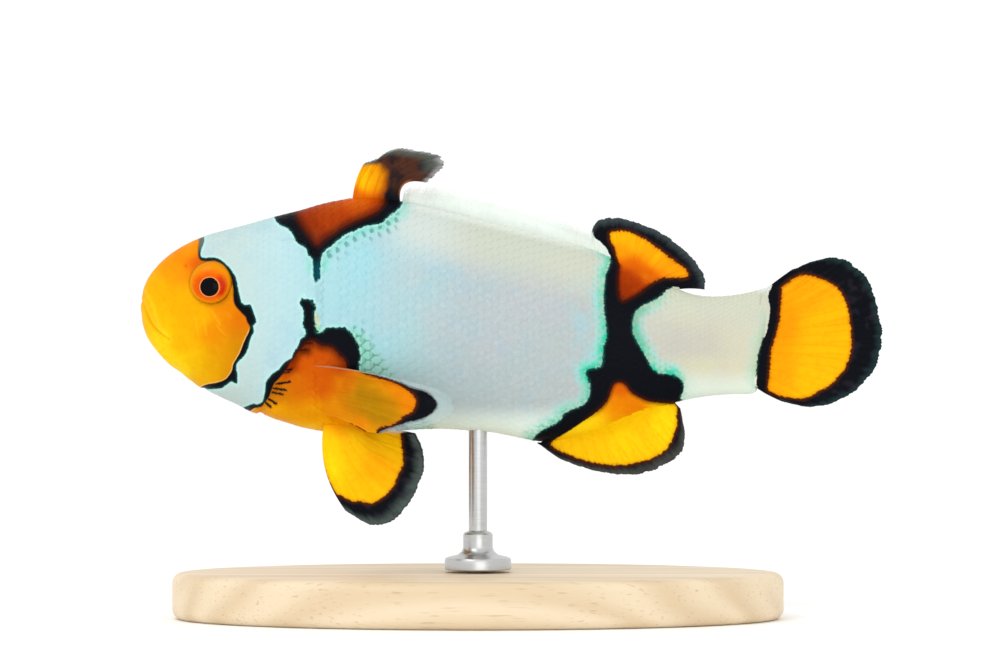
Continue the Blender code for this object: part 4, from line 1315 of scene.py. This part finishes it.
# %% Where the rays start, lean and end: fins of the middle
FLAG = [
    [(22.9, 0, 11.2), (28.3, 0, 10.4)],
    [(23.1, 0.1, 14.2), (26.0, 0.2, 16.0), (27.2, -0.2, 14.6)],
    [(24.3, 0.4, 15.8), (26.0, 0.2, 16.3), (27.6, 0, 17.2), (30.2, -1.0, 17.1), (33.4, -2.0, 16.1),
     (32.4, -2.3, 14.5), (31.2, -2.2, 13.4)],
]
FRILL = [
    [(28.2, 0, 10.4), (39, 0, 8.4), (49.4, 0, 5.2)],
    [(28.3, 0.3, 12.2), (39.8, -0.3, 10.6), (49.2, 0.1, 7.2)],
    [(28.8, 0.5, 13.4), (33.5, 0.2, 13.8), (37.4, -0.4, 13.0), (41.3, 0.1, 11.6), (45, 0.3, 10.4),
     (49.2, 0, 8.6)],
]
DORSAL = [
    [(49.0, 0, 4.8), (53.4, 0, 3.4), (56.8, 0, 1.7)],
    [(49.0, 0, 6.6), (54.2, 0.2, 6.4), (58.6, 0, 2.4)],
    [(48.75, 0, 8.3), (49.4, 0, 9.5), (51.3, 0.1, 9.95), (54.2, 0.3, 9.2), (57.2, 0.3, 7.7), (59.7, 0.2, 5.6),
     (61.0, 0.1, 3.6), (61.1, 0, 2.05)],
]
ANAL = [
    [(43.6, 0, -13.4), (50.4, 0, -11.8), (57, 0, -9.4)],
    [(43.6, 0, -14.8), (50.6, 0.2, -15), (58, 0, -10.4)],
    [(42.9, 0, -14.5), (45.4, 0.1, -16.3), (49, 0.3, -17.6), (53, 0.3, -18.1), (56.8, 0.3, -17.1),
     (58.9, 0.2, -15.0), (58.4, 0, -10.9)],
]
TAIL = [
    [(67.1, 0, 1.6), (66.6, 0, -3.2), (66.2, 0, -8.2)],
    [(68.5, 0, 2.9), (73.5, 0.3, -2.8), (67.2, 0, -9.2)],
    [(70.6, 0, 4.2), (73.3, 0.1, 5.3), (76.3, 0.4, 5.4), (78.9, 0.6, 3.1), (80.1, 0.7, -0.9),
     (80.3, 0.7, -3.6), (79.6, 0.6, -6.6), (76.6, 0.4, -9.6), (72.6, 0.1, -10.7), (69.2, 0, -9.9)],
]

# %% The left one of each pair
PECTORAL = [
    [(17.5, -4.6, -5.85), (18.7, -4.3, -8.6), (20.3, -3.2, -11.2)],
    [(24.6, -6.9, -6.55), (26.4, -7, -9.4), (22.8, -5.1, -12.2)],
    [(31.4, -10.4, -8.35), (33.8, -11.6, -9.4), (34.1, -12, -11.3), (31.2, -10.6, -12.7), (27.8, -8.8, -13.4),
     (24.6, -6.6, -13.2)],
]
PELVIC = [
    [(20, -1.6, -12.6), (21.8, -1.7, -12.7), (23.5, -1.5, -12.7)],
    [(19.0, -2.9, -17.4), (23.8, -3.6, -17.6), (26.6, -3, -12.9)],
    [(22.5, -4.6, -21.8), (25.5, -5.4, -23.3), (28.4, -5.7, -22.0), (30.4, -5.5, -18.6), (30.6, -5.0, -15.8),
     (29.7, -4.6, -13.6)],
]

# %% [markdown]
# The middle fins carry on the body's own patches. The paired fins and the flag stand away from the
# body, so their patches are their own. Where a fin is black all over, or has no orange, an outline
# round everything or far from everything says so.

# %% Markings of the paired fins and the flag
PECTORAL_BLACK = [(15.0, -2.0), (21.0, -4.5), (25.0, -6.9), (27.0, -7.6), (28.2, -8.0), (29.5, -8.55),
                  (30.5, -8.8), (31.3, -9.2), (31.9, -9.8), (32.15, -10.4), (31.9, -11.0), (31.2, -11.6),
                  (30.2, -12.1), (29.0, -12.35), (28.2, -12.6), (27.4, -12.9), (26.6, -13.15),
                  (26.0, -13.45), (25.2, -14.4), (20.0, -17.0), (15.0, -17.0)]
PECTORAL_ORANGE = [(15.0, -2.0), (21.0, -5.0), (24.0, -7.0), (25.5, -7.45), (27.0, -7.9), (28.2, -8.35),
                   (29.0, -8.9), (29.6, -9.5), (29.85, -10.1), (29.7, -10.8), (29.2, -11.35), (28.4, -11.7),
                   (28.1, -12.1), (27.5, -12.45), (26.8, -12.75), (26.2, -12.85), (25.7, -13.1),
                   (24.9, -14.4), (20.0, -17.0), (15.0, -17.0)]
PELVIC_ORANGE = [(19.0, -11.0), (19.4, -15.0), (20.0, -17.5), (20.6, -19.0), (21.2, -20.0), (22.0, -20.4),
                 (22.9, -20.85), (23.8, -20.8), (24.9, -21.1), (25.8, -20.8), (26.4, -20.4), (27.0, -19.7),
                 (27.6, -18.8), (28.0, -17.8), (28.4, -16.9), (28.45, -15.8), (28.3, -14.6), (28.3, -13.4),
                 (28.4, -11.0)]
FLAG_ORANGE = [(22.0, 10.0), (22.6, 13.0), (23.6, 14.9), (24.2, 15.25), (25.2, 15.3), (26.1, 15.15),
               (26.6, 14.7), (26.6, 13.6), (26.3, 12.4), (26.1, 11.4), (26.0, 10.0)]
EVERYWHERE = [np.array([(-20.0, -40.0), (120.0, -40.0), (120.0, 40.0), (-20.0, 40.0)])]
NOWHERE = [np.array([(200.0, 0.0), (201.0, 0.0), (201.0, 1.0)])]


# %% [markdown]
# Nine fins come from the one function. A fin's markings are stored while it is still a flat fan,
# because only the fan's points know where they are on the fish. The right fins are the left ones
# mirrored.

# %% Make the fins
def make_fin(name, node, slot, lines, rays, thick, black=BODY_BLACK, orange=BODY_ORANGE, warmest=1.0, **more):
    """A finished fin in the place of a node; more goes to fan()."""
    made, fish, most = fan(name, lines, rays, thick, **more)
    mark(made, black, orange, fish, warmest)
    thicken(made, most)
    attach(made, "root")
    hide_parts(node)
    return made


flag = make_fin("fin_flag", "dorsal_fin_front", "fin_orange", FLAG, 6, (1.2, 0.26, 0.2), EVERYWHERE,
                [smooth_line(FLAG_ORANGE)], notch=0.05, columns=24)
frill = make_fin("fin_frill", "dorsal_fin_middle", "fin_pearl", FRILL, 30, (2.6, 0.14, 0.06), EVERYWHERE,
                 NOWHERE, notch=0.08, rows=32, columns=12)
rear_fins = [
    make_fin("fin_dorsal", "dorsal_fin_rear", "fin_orange", DORSAL, 15, (2.4, 0.2, 0.18)),
    make_fin("fin_anal", "anal_fin", "fin_orange", ANAL, 14, (2.6, 0.2, 0.18), EVERYWHERE, warmest=0.14),
    make_fin("fin_tail", "tail_fin", "fin_orange", TAIL, 15, (1.9, 0.24, 0.2), notch=0.02),
]
pectorals = []
pelvics = []
for side, mirror in (("left", False), ("right", True)):
    pectorals.append(make_fin("fin_pectoral_" + side, "pectoral_fin_" + side, "fin_orange", PECTORAL, 14,
                              (0.9, 0.2, 0.06), [smooth_line(PECTORAL_BLACK)], [smooth_line(PECTORAL_ORANGE)],
                              notch=0.02, mirror=mirror))
    pelvics.append(make_fin("fin_pelvic_" + side, "pelvic_fin_" + side, "fin_orange", PELVIC, 7,
                            (1.6, 0.22, 0.2), EVERYWHERE, [smooth_line(PELVIC_ORANGE)], columns=24,
                            notch=0.016, mirror=mirror))
print("fins:", len([flag, frill] + rear_fins + pectorals + pelvics))
print("faces of the tail:", len(rear_fins[-1].data.polygons))

# %% [markdown]
# ## Fin colours
#
# The orange of a fin is streaked along its rays, browns at its border, and lies inside a black
# margin with a jagged edge that pales towards the rim. Noise that is stretched along the rays gives
# the streaks: its place is read from the number of the ray and the way along it, so that it follows
# the fan round every bend. The pectoral fin has a clear strip outside its margin, a pale first ray
# and a dark last one.

# %% Orange fins
def streaks(w, fine, long):
    """Noise along the rays: so many streaks from ray to ray, and so many changes along a ray."""
    spread, reach = w.value_of("spread"), w.value_of("reach")
    vector = w.node("ShaderNodeCombineXYZ", None, {"X": spread * fine, "Y": reach * long})
    return w.node("ShaderNodeTexNoise", None, {"Vector": vector, "Scale": 1.0, "Detail": 2.0})


def clear_rimmed(w, shader, colour, in_black, behind_snout, reach, spread):
    """The pectoral fin's first and last rays, and a clear strip outside its black margin."""
    first_ray = spread.fade(0.3, 0.65) * behind_snout.fade(25.0, 27.0) * behind_snout.step(18.0, 19.5)
    first_colour = w.mix(ink(178, 124, 92), ink(150, 158, 128), behind_snout.step(22.5, 24.5))
    colour = w.mix(colour, first_colour, first_ray * 0.8)
    last_ray = spread.step(13.45, 13.6) * behind_snout.step(22.4, 23.0) * w.noise(0.9, 1.0).step(0.36, 0.44)
    colour = w.mix(colour, ink(112, 40, 0), last_ray)
    rim = 0.34 * spread.fade(10.6, 12.0) * (1 - reach.step(0.92, 1.0) * 0.6)
    plug(shader, Alpha=w.maths("MAXIMUM", in_black.step(-0.16, 0.1), rim))
    return w.mix(ink(180, 200, 202), colour, in_black.step(-0.12, 0.12))


def fin_material(name, edge, edge_from, clear_rim=False):
    """Orange in a black margin, which pales to the colour edge from a share of the way out."""
    material, shader, w = new_material(name, Roughness=0.45, Specular_IOR_Level=0.04)
    reach, ridge, spread = w.value_of("reach"), w.value_of("ridge"), w.value_of("spread")
    behind_snout, above = beside(w)
    jagged = (streaks(w, 4.0, 3.0) - 0.5) * 0.4 + (w.noise(0.3, 3.0) - 0.5) * 0.3
    in_black = w.value_of("in_black") + (w.noise(0.3, 3.0) - 0.5) * 0.3
    in_orange = w.value_of("in_orange") + jagged
    out = reach.step(0.25, 0.6)
    bright = 0.08 if clear_rim else 0.25
    orange = w.mix(orange_colour(w), ink(252, 198, 0), streaks(w, 0.9, 0.8).step(0.4, 0.7) * out * bright)
    orange = w.mix(orange, ink(226, 120, 0), ridge * out * 0.1)
    orange = w.mix(orange, ink(186, 76, 0), in_orange.fade(0.0, 0.4) * 0.4)
    margin = w.mix(BLACK, edge, (reach + (streaks(w, 3.0, 4.0) - 0.5) * 0.1).step(edge_from, 1.0))
    blotches = w.noise(1.1, 1.0).step(0.5, 0.7) * reach.step(0.6, 0.9)
    margin = w.mix(margin, ink(42, 36, 48), blotches * 0.4)
    margin = w.mix(margin, ink(78, 30, 2), in_orange.step(-0.5, -0.02) * 0.85)
    colour = w.mix(margin, orange, in_orange.step(-0.08, 0.1))
    if clear_rim:
        colour = clear_rimmed(w, shader, colour, in_black, behind_snout, reach, spread)
    else:
        pearl = pearl_colour(w, behind_snout, above)
        pearl = w.mix(pearl, ink(226, 238, 228), behind_snout.fade(54.0, 58.0) * 0.5)
        colour = w.mix(pearl, colour, in_black.step(-0.05, 0.05))
    plug(shader, Base_Color=colour, Normal=w.bump(streaks(w, 5.0, 9.0) * 0.5 + ridge, 0.2, 0.05))
    return material


# %% [markdown]
# The curled first spines are yellow in front, and a smoky brown that thins to a grey edge behind.
# The frill is almost nothing: the back's own colour at its root, then white, then clear. Only its
# alpha makes it a fin, so its edge fades by the same streaks that fray the others.

# %% The curled fin and the clear frill
def flag_material():
    material, shader, w = new_material("curled fin", Roughness=0.5, Specular_IOR_Level=0.04)
    reach, ridge, spread = w.value_of("reach"), w.value_of("ridge"), w.value_of("spread")
    in_orange = w.value_of("in_orange") + (w.noise(0.7, 3.0) - 0.5) * 0.5
    orange = w.mix(orange_colour(w), ink(180, 92, 0), ridge * 0.35)
    orange = w.mix(orange, ink(120, 54, 4), in_orange.fade(-0.1, 0.8) * spread.step(1.6, 2.6) * 0.75)
    curl = w.mix(ink(74, 42, 30), ink(40, 30, 30), w.noise(1.5, 2.0).step(0.38, 0.62))
    curl = w.mix(curl, ink(84, 92, 84), reach.step(0.74, 0.95) * spread.fade(4.4, 5.4) * 0.9)
    under = spread.step(5.4, 5.8) * reach.step(0.16, 0.36) * reach.fade(0.62, 0.82)
    curl = w.mix(curl, ink(160, 98, 62), under * 0.8)
    colour = w.mix(curl, orange, in_orange.step(-0.6, 0.1))
    lit = w.maths("MAXIMUM", in_orange.step(-0.6, 0.1), reach.step(0.12, 0.4))
    worn = reach.step(0.88, 1.0) * (streaks(w, 2.0, 2.0).step(0.3, 0.7) * 0.5 + 0.25)
    plug(shader, Base_Color=w.mix(BLACK, colour, lit), Alpha=1 - worn,
         Normal=w.bump(streaks(w, 5.0, 6.0) + ridge, 0.3, 0.06))
    return material


def frill_material():
    """Opaque and of the back's colour at its root, white and clear at its edge."""
    material, shader, w = new_material("clear fin", Roughness=0.5, Specular_IOR_Level=0.04)
    reach = w.value_of("reach")
    behind_snout, above = beside(w)
    out = reach + (streaks(w, 1.1, 1.5) - 0.5) * 0.25
    front = behind_snout.step(27.8, 29.5) * 0.6 + 0.4
    rearward = behind_snout.step(42.0, 48.0)
    root = w.mix(ink(205, 213, 205), pearl_colour(w, behind_snout, above), rearward * 0.65)
    colour = w.mix(root, ink(238, 245, 238), out.step(0.05, 0.75) * (1 - rearward * 0.55))
    plug(shader, Base_Color=colour, Alpha=out.fade(0.42, 0.98) * front,
         Normal=w.bump(w.value_of("ridge"), 0.2, 0.04))
    return material


# %% [markdown]
# The orange fins differ only in how their margins pale: the pelvic fins' are the greyest, and the
# tail's stays black almost to its rim.

# %% Give each fin its colour
MARGINS = [  # the fins, the colour of their rim, and the share of the way out from which it shows
    ("dorsal fin", rear_fins[:1], ink(56, 66, 68), 0.82),
    ("anal fin", rear_fins[1:2], ink(68, 70, 66), 0.84),
    ("tail fin", rear_fins[2:], ink(28, 48, 50), 0.93),
    ("pectoral fin", pectorals, BLACK, 0.9),
    ("pelvic fin", pelvics, ink(72, 84, 80), 0.88),
]
for name, fins, edge, edge_from in MARGINS:
    paint = fin_material(name, edge, edge_from, clear_rim=fins is pectorals)
    for fin in fins:
        fin.data.materials.append(paint)
    print(name + ":", len(paint.node_tree.nodes), "nodes")
flag.data.materials.append(flag_material())
frill.data.materials.append(frill_material())

# %% [markdown]
# ## The eyes
#
# A fish's eye is a flattened ball that stands a little out of its ring. The pupil is black and
# round with a thin pale rim, and the iris goes from red-orange beside it to gold at the lid. The
# ball is a globe with its pole turned outwards, flattened towards a fuller shape than an ellipse,
# which would look pinched. The pupil sits a little below the ball's middle, on a ball that is
# turned a little forwards and up. So each point stores how far it is from the axis of the gaze, for
# the rings of colour, and how far out, low and back it is on the ball, for the gold by the lid, whose
# lower half is painted lighter as painted light against the socket's shade, and the red on both sides
# of the pupil.

# %% Eyes
EYE_RADIUS, EYE_DEPTH = 2.36, 1.5  # mm
GAZE = (0.0, -0.5)  # the pupil sits this far back and up from the ball's middle, mm
EYE_FULLNESS = 3.0  # exponent of the ball's profile: 2 is an ellipse, more is a flatter front
PUPIL_BULGE = 0.12  # mm
TURN_FORWARD, TURN_UP = math.radians(6), math.radians(4)


def make_eye(side, name):
    """The eyeball on side -1, which is the fish's left, or 1."""
    bpy.ops.object.select_all(action="DESELECT")
    bpy.ops.mesh.primitive_uv_sphere_add(segments=96, ring_count=64, radius=1.0)
    ball = named(name)
    unit = points_of(ball)
    flat = np.hypot(unit[:, 0], unit[:, 1])
    length = (flat**EYE_FULLNESS + np.abs(unit[:, 2]) ** EYE_FULLNESS) ** (-1 / EYE_FULLNESS)
    shaped = unit * length[:, None] * (EYE_RADIUS, EYE_RADIUS, EYE_DEPTH)
    out = np.hypot(shaped[:, 0], shaped[:, 1])
    inward = 1 - ease(out, 1.5, EYE_RADIUS)
    fore_aft = shaped[:, 0] - GAZE[0] * inward
    up_down = shaped[:, 1] * -side - GAZE[1] * inward
    off_axis = np.hypot(fore_aft, up_down)
    level = np.abs(fore_aft) / np.maximum(off_axis, 1e-6)
    low = shaped[:, 1] * side
    stored = {"off_axis": off_axis, "level": level, "aft": fore_aft, "out": out, "low": low}
    for key, values in stored.items():
        keep_values(ball, key, values)
    shaped[:, 2] += np.sign(shaped[:, 2]) * PUPIL_BULGE * (1 - ease(off_axis, 0.4, 1.3))
    look = Matrix.Rotation(side * TURN_FORWARD, 4, "Z") @ Matrix.Rotation(side * TURN_UP, 4, "X")
    turn = np.array((look @ Matrix.Rotation(-side * math.pi / 2, 4, "X")).to_3x3())
    move_points(ball, to_scene(shaped @ turn.T + (EYE_BEHIND, side * EYE_OUT, EYE_ABOVE)))
    fix_normals(ball)
    ball.data.shade_smooth()
    ball.data.uv_layers[0].name = "OFBake"
    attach(ball, "root")
    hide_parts(name.replace("eyeball", "eye"))
    return ball


eyes = [make_eye(-1, "eyeball_left"), make_eye(1, "eyeball_right")]
print("eyeball:", EYE_RADIUS * 2, "mm across,", len(eyes[0].data.polygons), "faces")


# %% Eye colour
def eye_material():
    material, shader, w = new_material("eye", Roughness=0.12, Specular_IOR_Level=0.05, Coat_Weight=0.03,
                                       Coat_Roughness=0.04)
    off = w.value_of("off_axis") + (w.noise(0.3, 2.0) - 0.5) * 0.07
    pale = (off * (1 / 2.5)).ramp({
        0.378: ink(5, 5, 9), 0.4: ink(84, 18, 4), 0.413: ink(246, 166, 104), 0.43: ink(236, 130, 54),
        0.455: ink(214, 88, 0), 0.6: ink(226, 100, 0), 0.74: ink(228, 118, 0), 0.84: ink(220, 134, 0)})
    red = off.band(1.1, 1.25, 1.5, 2.1) * w.value_of("level").step(0.4, 0.95)
    deep = w.mix(pale, ink(186, 30, 0), red * (w.value_of("aft").step(-1.0, 1.0) * 0.6 + 0.35))
    mottled = w.mix(deep, ink(250, 124, 20), w.noise(0.25, 2.0).step(0.5, 0.8) * off.step(1.1, 1.3) * 0.3)
    rim = (w.value_of("out") + (w.noise(0.4, 2.0) - 0.5) * 0.2).step(1.95, 2.2)
    # The gold's lower half is lighter: painted light against the shade where the ball sits in its socket.
    rim_gold_painted_light_below = w.mix(ink(206, 126, 0), ink(224, 160, 6), w.value_of("low").step(-2.0, 2.0))
    plug(shader, Base_Color=w.mix(mottled, rim_gold_painted_light_below, rim * 0.8))
    return material


eye_colour = eye_material()
for ball in eyes:
    ball.data.materials.append(eye_colour)

# %% [markdown]
# ## The stand
#
# A museum model stands on something plain: here an oval foot of pale maple and one steel rod with a
# small foot plate. The oval is a drum with many sides, stretched to an oval, with its two rims
# bevelled round. An oval curve would do as well, but the drum comes closed and with its faces in
# order.

# %% The wooden base
RIM = 1.1 * MM


def make_base():
    low, high = (Vector(corner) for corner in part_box("stand_base"))
    bpy.ops.object.select_all(action="DESELECT")
    bpy.ops.mesh.primitive_cylinder_add(vertices=160, radius=0.5, depth=1.0)
    base = named("base")
    bpy.ops.object.mode_set(mode="EDIT")
    bpy.ops.mesh.select_all(action="SELECT")
    bpy.ops.transform.resize(value=tuple(high - low))
    bpy.ops.transform.translate(value=tuple((high + low) / 2))
    bpy.ops.mesh.select_mode(type="FACE")
    bpy.ops.mesh.select_all(action="DESELECT")
    bpy.ops.object.mode_set(mode="OBJECT")
    for face in base.data.polygons:
        face.select = abs(face.normal.z) > 0.9
    bpy.ops.object.mode_set(mode="EDIT")
    bpy.ops.mesh.bevel(offset=RIM, segments=5, affect="EDGES")
    bpy.ops.mesh.select_all(action="SELECT")
    bpy.ops.uv.smart_project(angle_limit=1.15, island_margin=0.01)
    bpy.ops.object.mode_set(mode="OBJECT")
    bpy.ops.object.shade_smooth_by_angle(angle=math.radians(35))
    base.data.uv_layers[0].name = "OFBake"
    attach(base, "root")
    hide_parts("stand_base")
    return base


# %% [markdown]
# The rod is turned metal, so it is made as on a lathe: half of its outline, spun about its axis. A
# collar and a flat plate carry it, and its top stands in a socket in the belly.

# %% The rod
def make_rod():
    low, high = ROD_BOX
    foot, top, plate = low[2] / MM, high[2] / MM, (high[0] - low[0]) / 2 / MM
    stem = [(0.0, top), (0.8, top), (1.0, top - 0.2), (1.0, foot + 4.2)]
    collar = [(1.45, foot + 4.0), (1.6, foot + 3.8), (1.6, foot + 2.4), (1.75, foot + 2.0), (2.2, foot + 1.6)]
    flat_plate = [(plate - 0.5, foot + 1.4), (plate - 0.1, foot + 1.25), (plate, foot + 1.0),
                  (plate, foot + 0.1), (plate - 0.1, foot), (0.0, foot)]
    outline = stem + collar + flat_plate
    mesh = bpy.data.meshes.new("rod")
    edges = [(i, i + 1) for i in range(len(outline) - 1)]
    mesh.from_pydata([(radius * MM, 0, height * MM) for radius, height in outline], edges, [])
    rod = into_scene("rod", mesh)
    select_only(rod)
    bpy.ops.object.mode_set(mode="EDIT")
    bpy.ops.mesh.select_all(action="SELECT")
    bpy.ops.mesh.spin(steps=72, angle=2 * math.pi, center=(0, 0, 0), axis=(0, 0, 1))
    bpy.ops.mesh.select_all(action="SELECT")
    bpy.ops.mesh.remove_doubles(threshold=1e-6)
    bpy.ops.mesh.normals_make_consistent(inside=False)
    bpy.ops.uv.smart_project(angle_limit=1.15, island_margin=0.01)
    bpy.ops.object.mode_set(mode="OBJECT")
    bpy.ops.object.shade_smooth_by_angle(angle=math.radians(30))
    mesh.uv_layers[0].name = "OFBake"
    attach(rod, "root")
    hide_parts("stand_rod")
    return rod


base, rod = make_base(), make_rod()
print("base:", len(base.data.polygons), "faces; rod:", len(rod.data.polygons))

# %% [markdown]
# Maple is pale, with quiet bands from its year rings and short dark pores along the grain. Both are
# read from the place in the board, stretched along its length, so that the grain runs through the
# rim as it would in real wood. The rod is brushed along its length: fine noise, squeezed across.

# %% Maple and steel
def maple_material():
    material, shader, w = new_material("pale maple", Specular_IOR_Level=0.35, Coat_Weight=0.12,
                                       Coat_Roughness=0.3)
    x, y, z = w.axes()
    stretched = w.node("ShaderNodeCombineXYZ", None, {"X": x * 0.07, "Y": y + z * 0.6, "Z": z * 0.8})
    bend = w.noise(14.0, 2.0, stretched)
    rings = w.maths("SINE", (y + z * 0.6) * 1100.0 + bend * 26.0) * 0.5 + 0.5
    pores = w.noise(0.25, 3.0, w.node("ShaderNodeCombineXYZ", None, {"X": x * 0.035, "Y": y, "Z": z}))
    wood = w.mix(ink(232, 214, 184), ink(208, 182, 144), rings * 0.5 + bend * 0.3)
    wood = w.mix(wood, ink(168, 136, 98), pores.step(0.58, 0.74) * 0.45)
    plug(shader, Base_Color=wood, Roughness=pores * 0.2 + 0.4, Normal=w.bump(pores, 0.35, 0.06))
    return material


def steel_material():
    material, shader, w = new_material("brushed steel", Metallic=1.0)
    x, y, z = w.axes()
    brushed = w.noise(0.12, 2.0, w.node("ShaderNodeCombineXYZ", None, {"X": x * 0.08, "Y": y * 0.08, "Z": z}))
    plug(shader, Base_Color=w.mix(ink(176, 178, 180), ink(206, 206, 204), brushed),
         Roughness=brushed * 0.16 + 0.24, Normal=w.bump(brushed, 0.25, 0.02))
    return material


base.data.materials.append(maple_material())
rod.data.materials.append(steel_material())

# %% [markdown]
# ## Floor, light and camera
#
# The fish is seen square from its left side against white. The floor is pale and reaches far, so
# that its edge never shows, the sky is an even white, and two large soft lamps give a little form:
# one high on the left and one low in front. A stronger lamp would bleach the pearl.

# %% Floor, sky and lamps
def make_floor():
    bpy.ops.object.select_all(action="DESELECT")
    bpy.ops.mesh.primitive_circle_add(vertices=96, radius=4.0, fill_type="NGON", location=(0, 0, 0))
    floor = named("floor")
    material, shader, w = new_material("pale floor", Roughness=0.7, Specular_IOR_Level=0.1)
    plug(shader, Base_Color=w.mix(ink(250, 250, 249), ink(255, 255, 255), w.noise(400.0, 1.0)))
    floor.data.materials.append(material)


def soft_lamp(name, place, size, energy):
    """A square lamp of a size in metres and an energy in watts, turned towards the fish."""
    light = bpy.data.lights.new(name, "AREA")
    light.size, light.energy = size, energy
    lamp = into_scene(name, light)
    lamp.location = place
    lamp.rotation_euler = (Vector((0, 0, 0.03)) - Vector(place)).to_track_quat("-Z", "Y").to_euler()


def white_sky(strength):
    world = bpy.data.worlds.new("white sky")
    world.use_nodes = True
    background = world.node_tree.nodes["Background"]
    background.inputs["Color"].default_value = (1, 1, 1, 1)
    background.inputs["Strength"].default_value = strength
    bpy.context.scene.world = world


make_floor()
white_sky(1.04)
soft_lamp("key", (-0.35, -0.5, 0.6), 0.35, 1.3)
soft_lamp("fill", (0.1, -0.6, 0.02), 0.4, 0.75)
bpy.context.scene.view_settings.view_transform = "Standard"

# %% [markdown]
# The camera stands where side_view() looks from, square on and level, so the outlines come out as
# they were laid. Its lens follows from how much of the width it has to take in at the fish.

# %% Camera
FRAME_WIDTH = 108.0  # millimetres across the picture at the fish
SENSOR = 36.0
camera_data = bpy.data.cameras.new("camera")
camera_data.sensor_width = SENSOR
camera_data.lens = SENSOR * VIEW_FROM / FRAME_WIDTH
camera_data.clip_start = 10 * MM
camera = into_scene("camera", camera_data)
camera.location = to_scene((VIEW_MIDDLE[0], -VIEW_FROM, VIEW_MIDDLE[1])).tolist()
camera.rotation_euler = (math.radians(90), 0, 0)
bpy.context.scene.camera = camera
print("lens:", round(camera_data.lens), "mm")
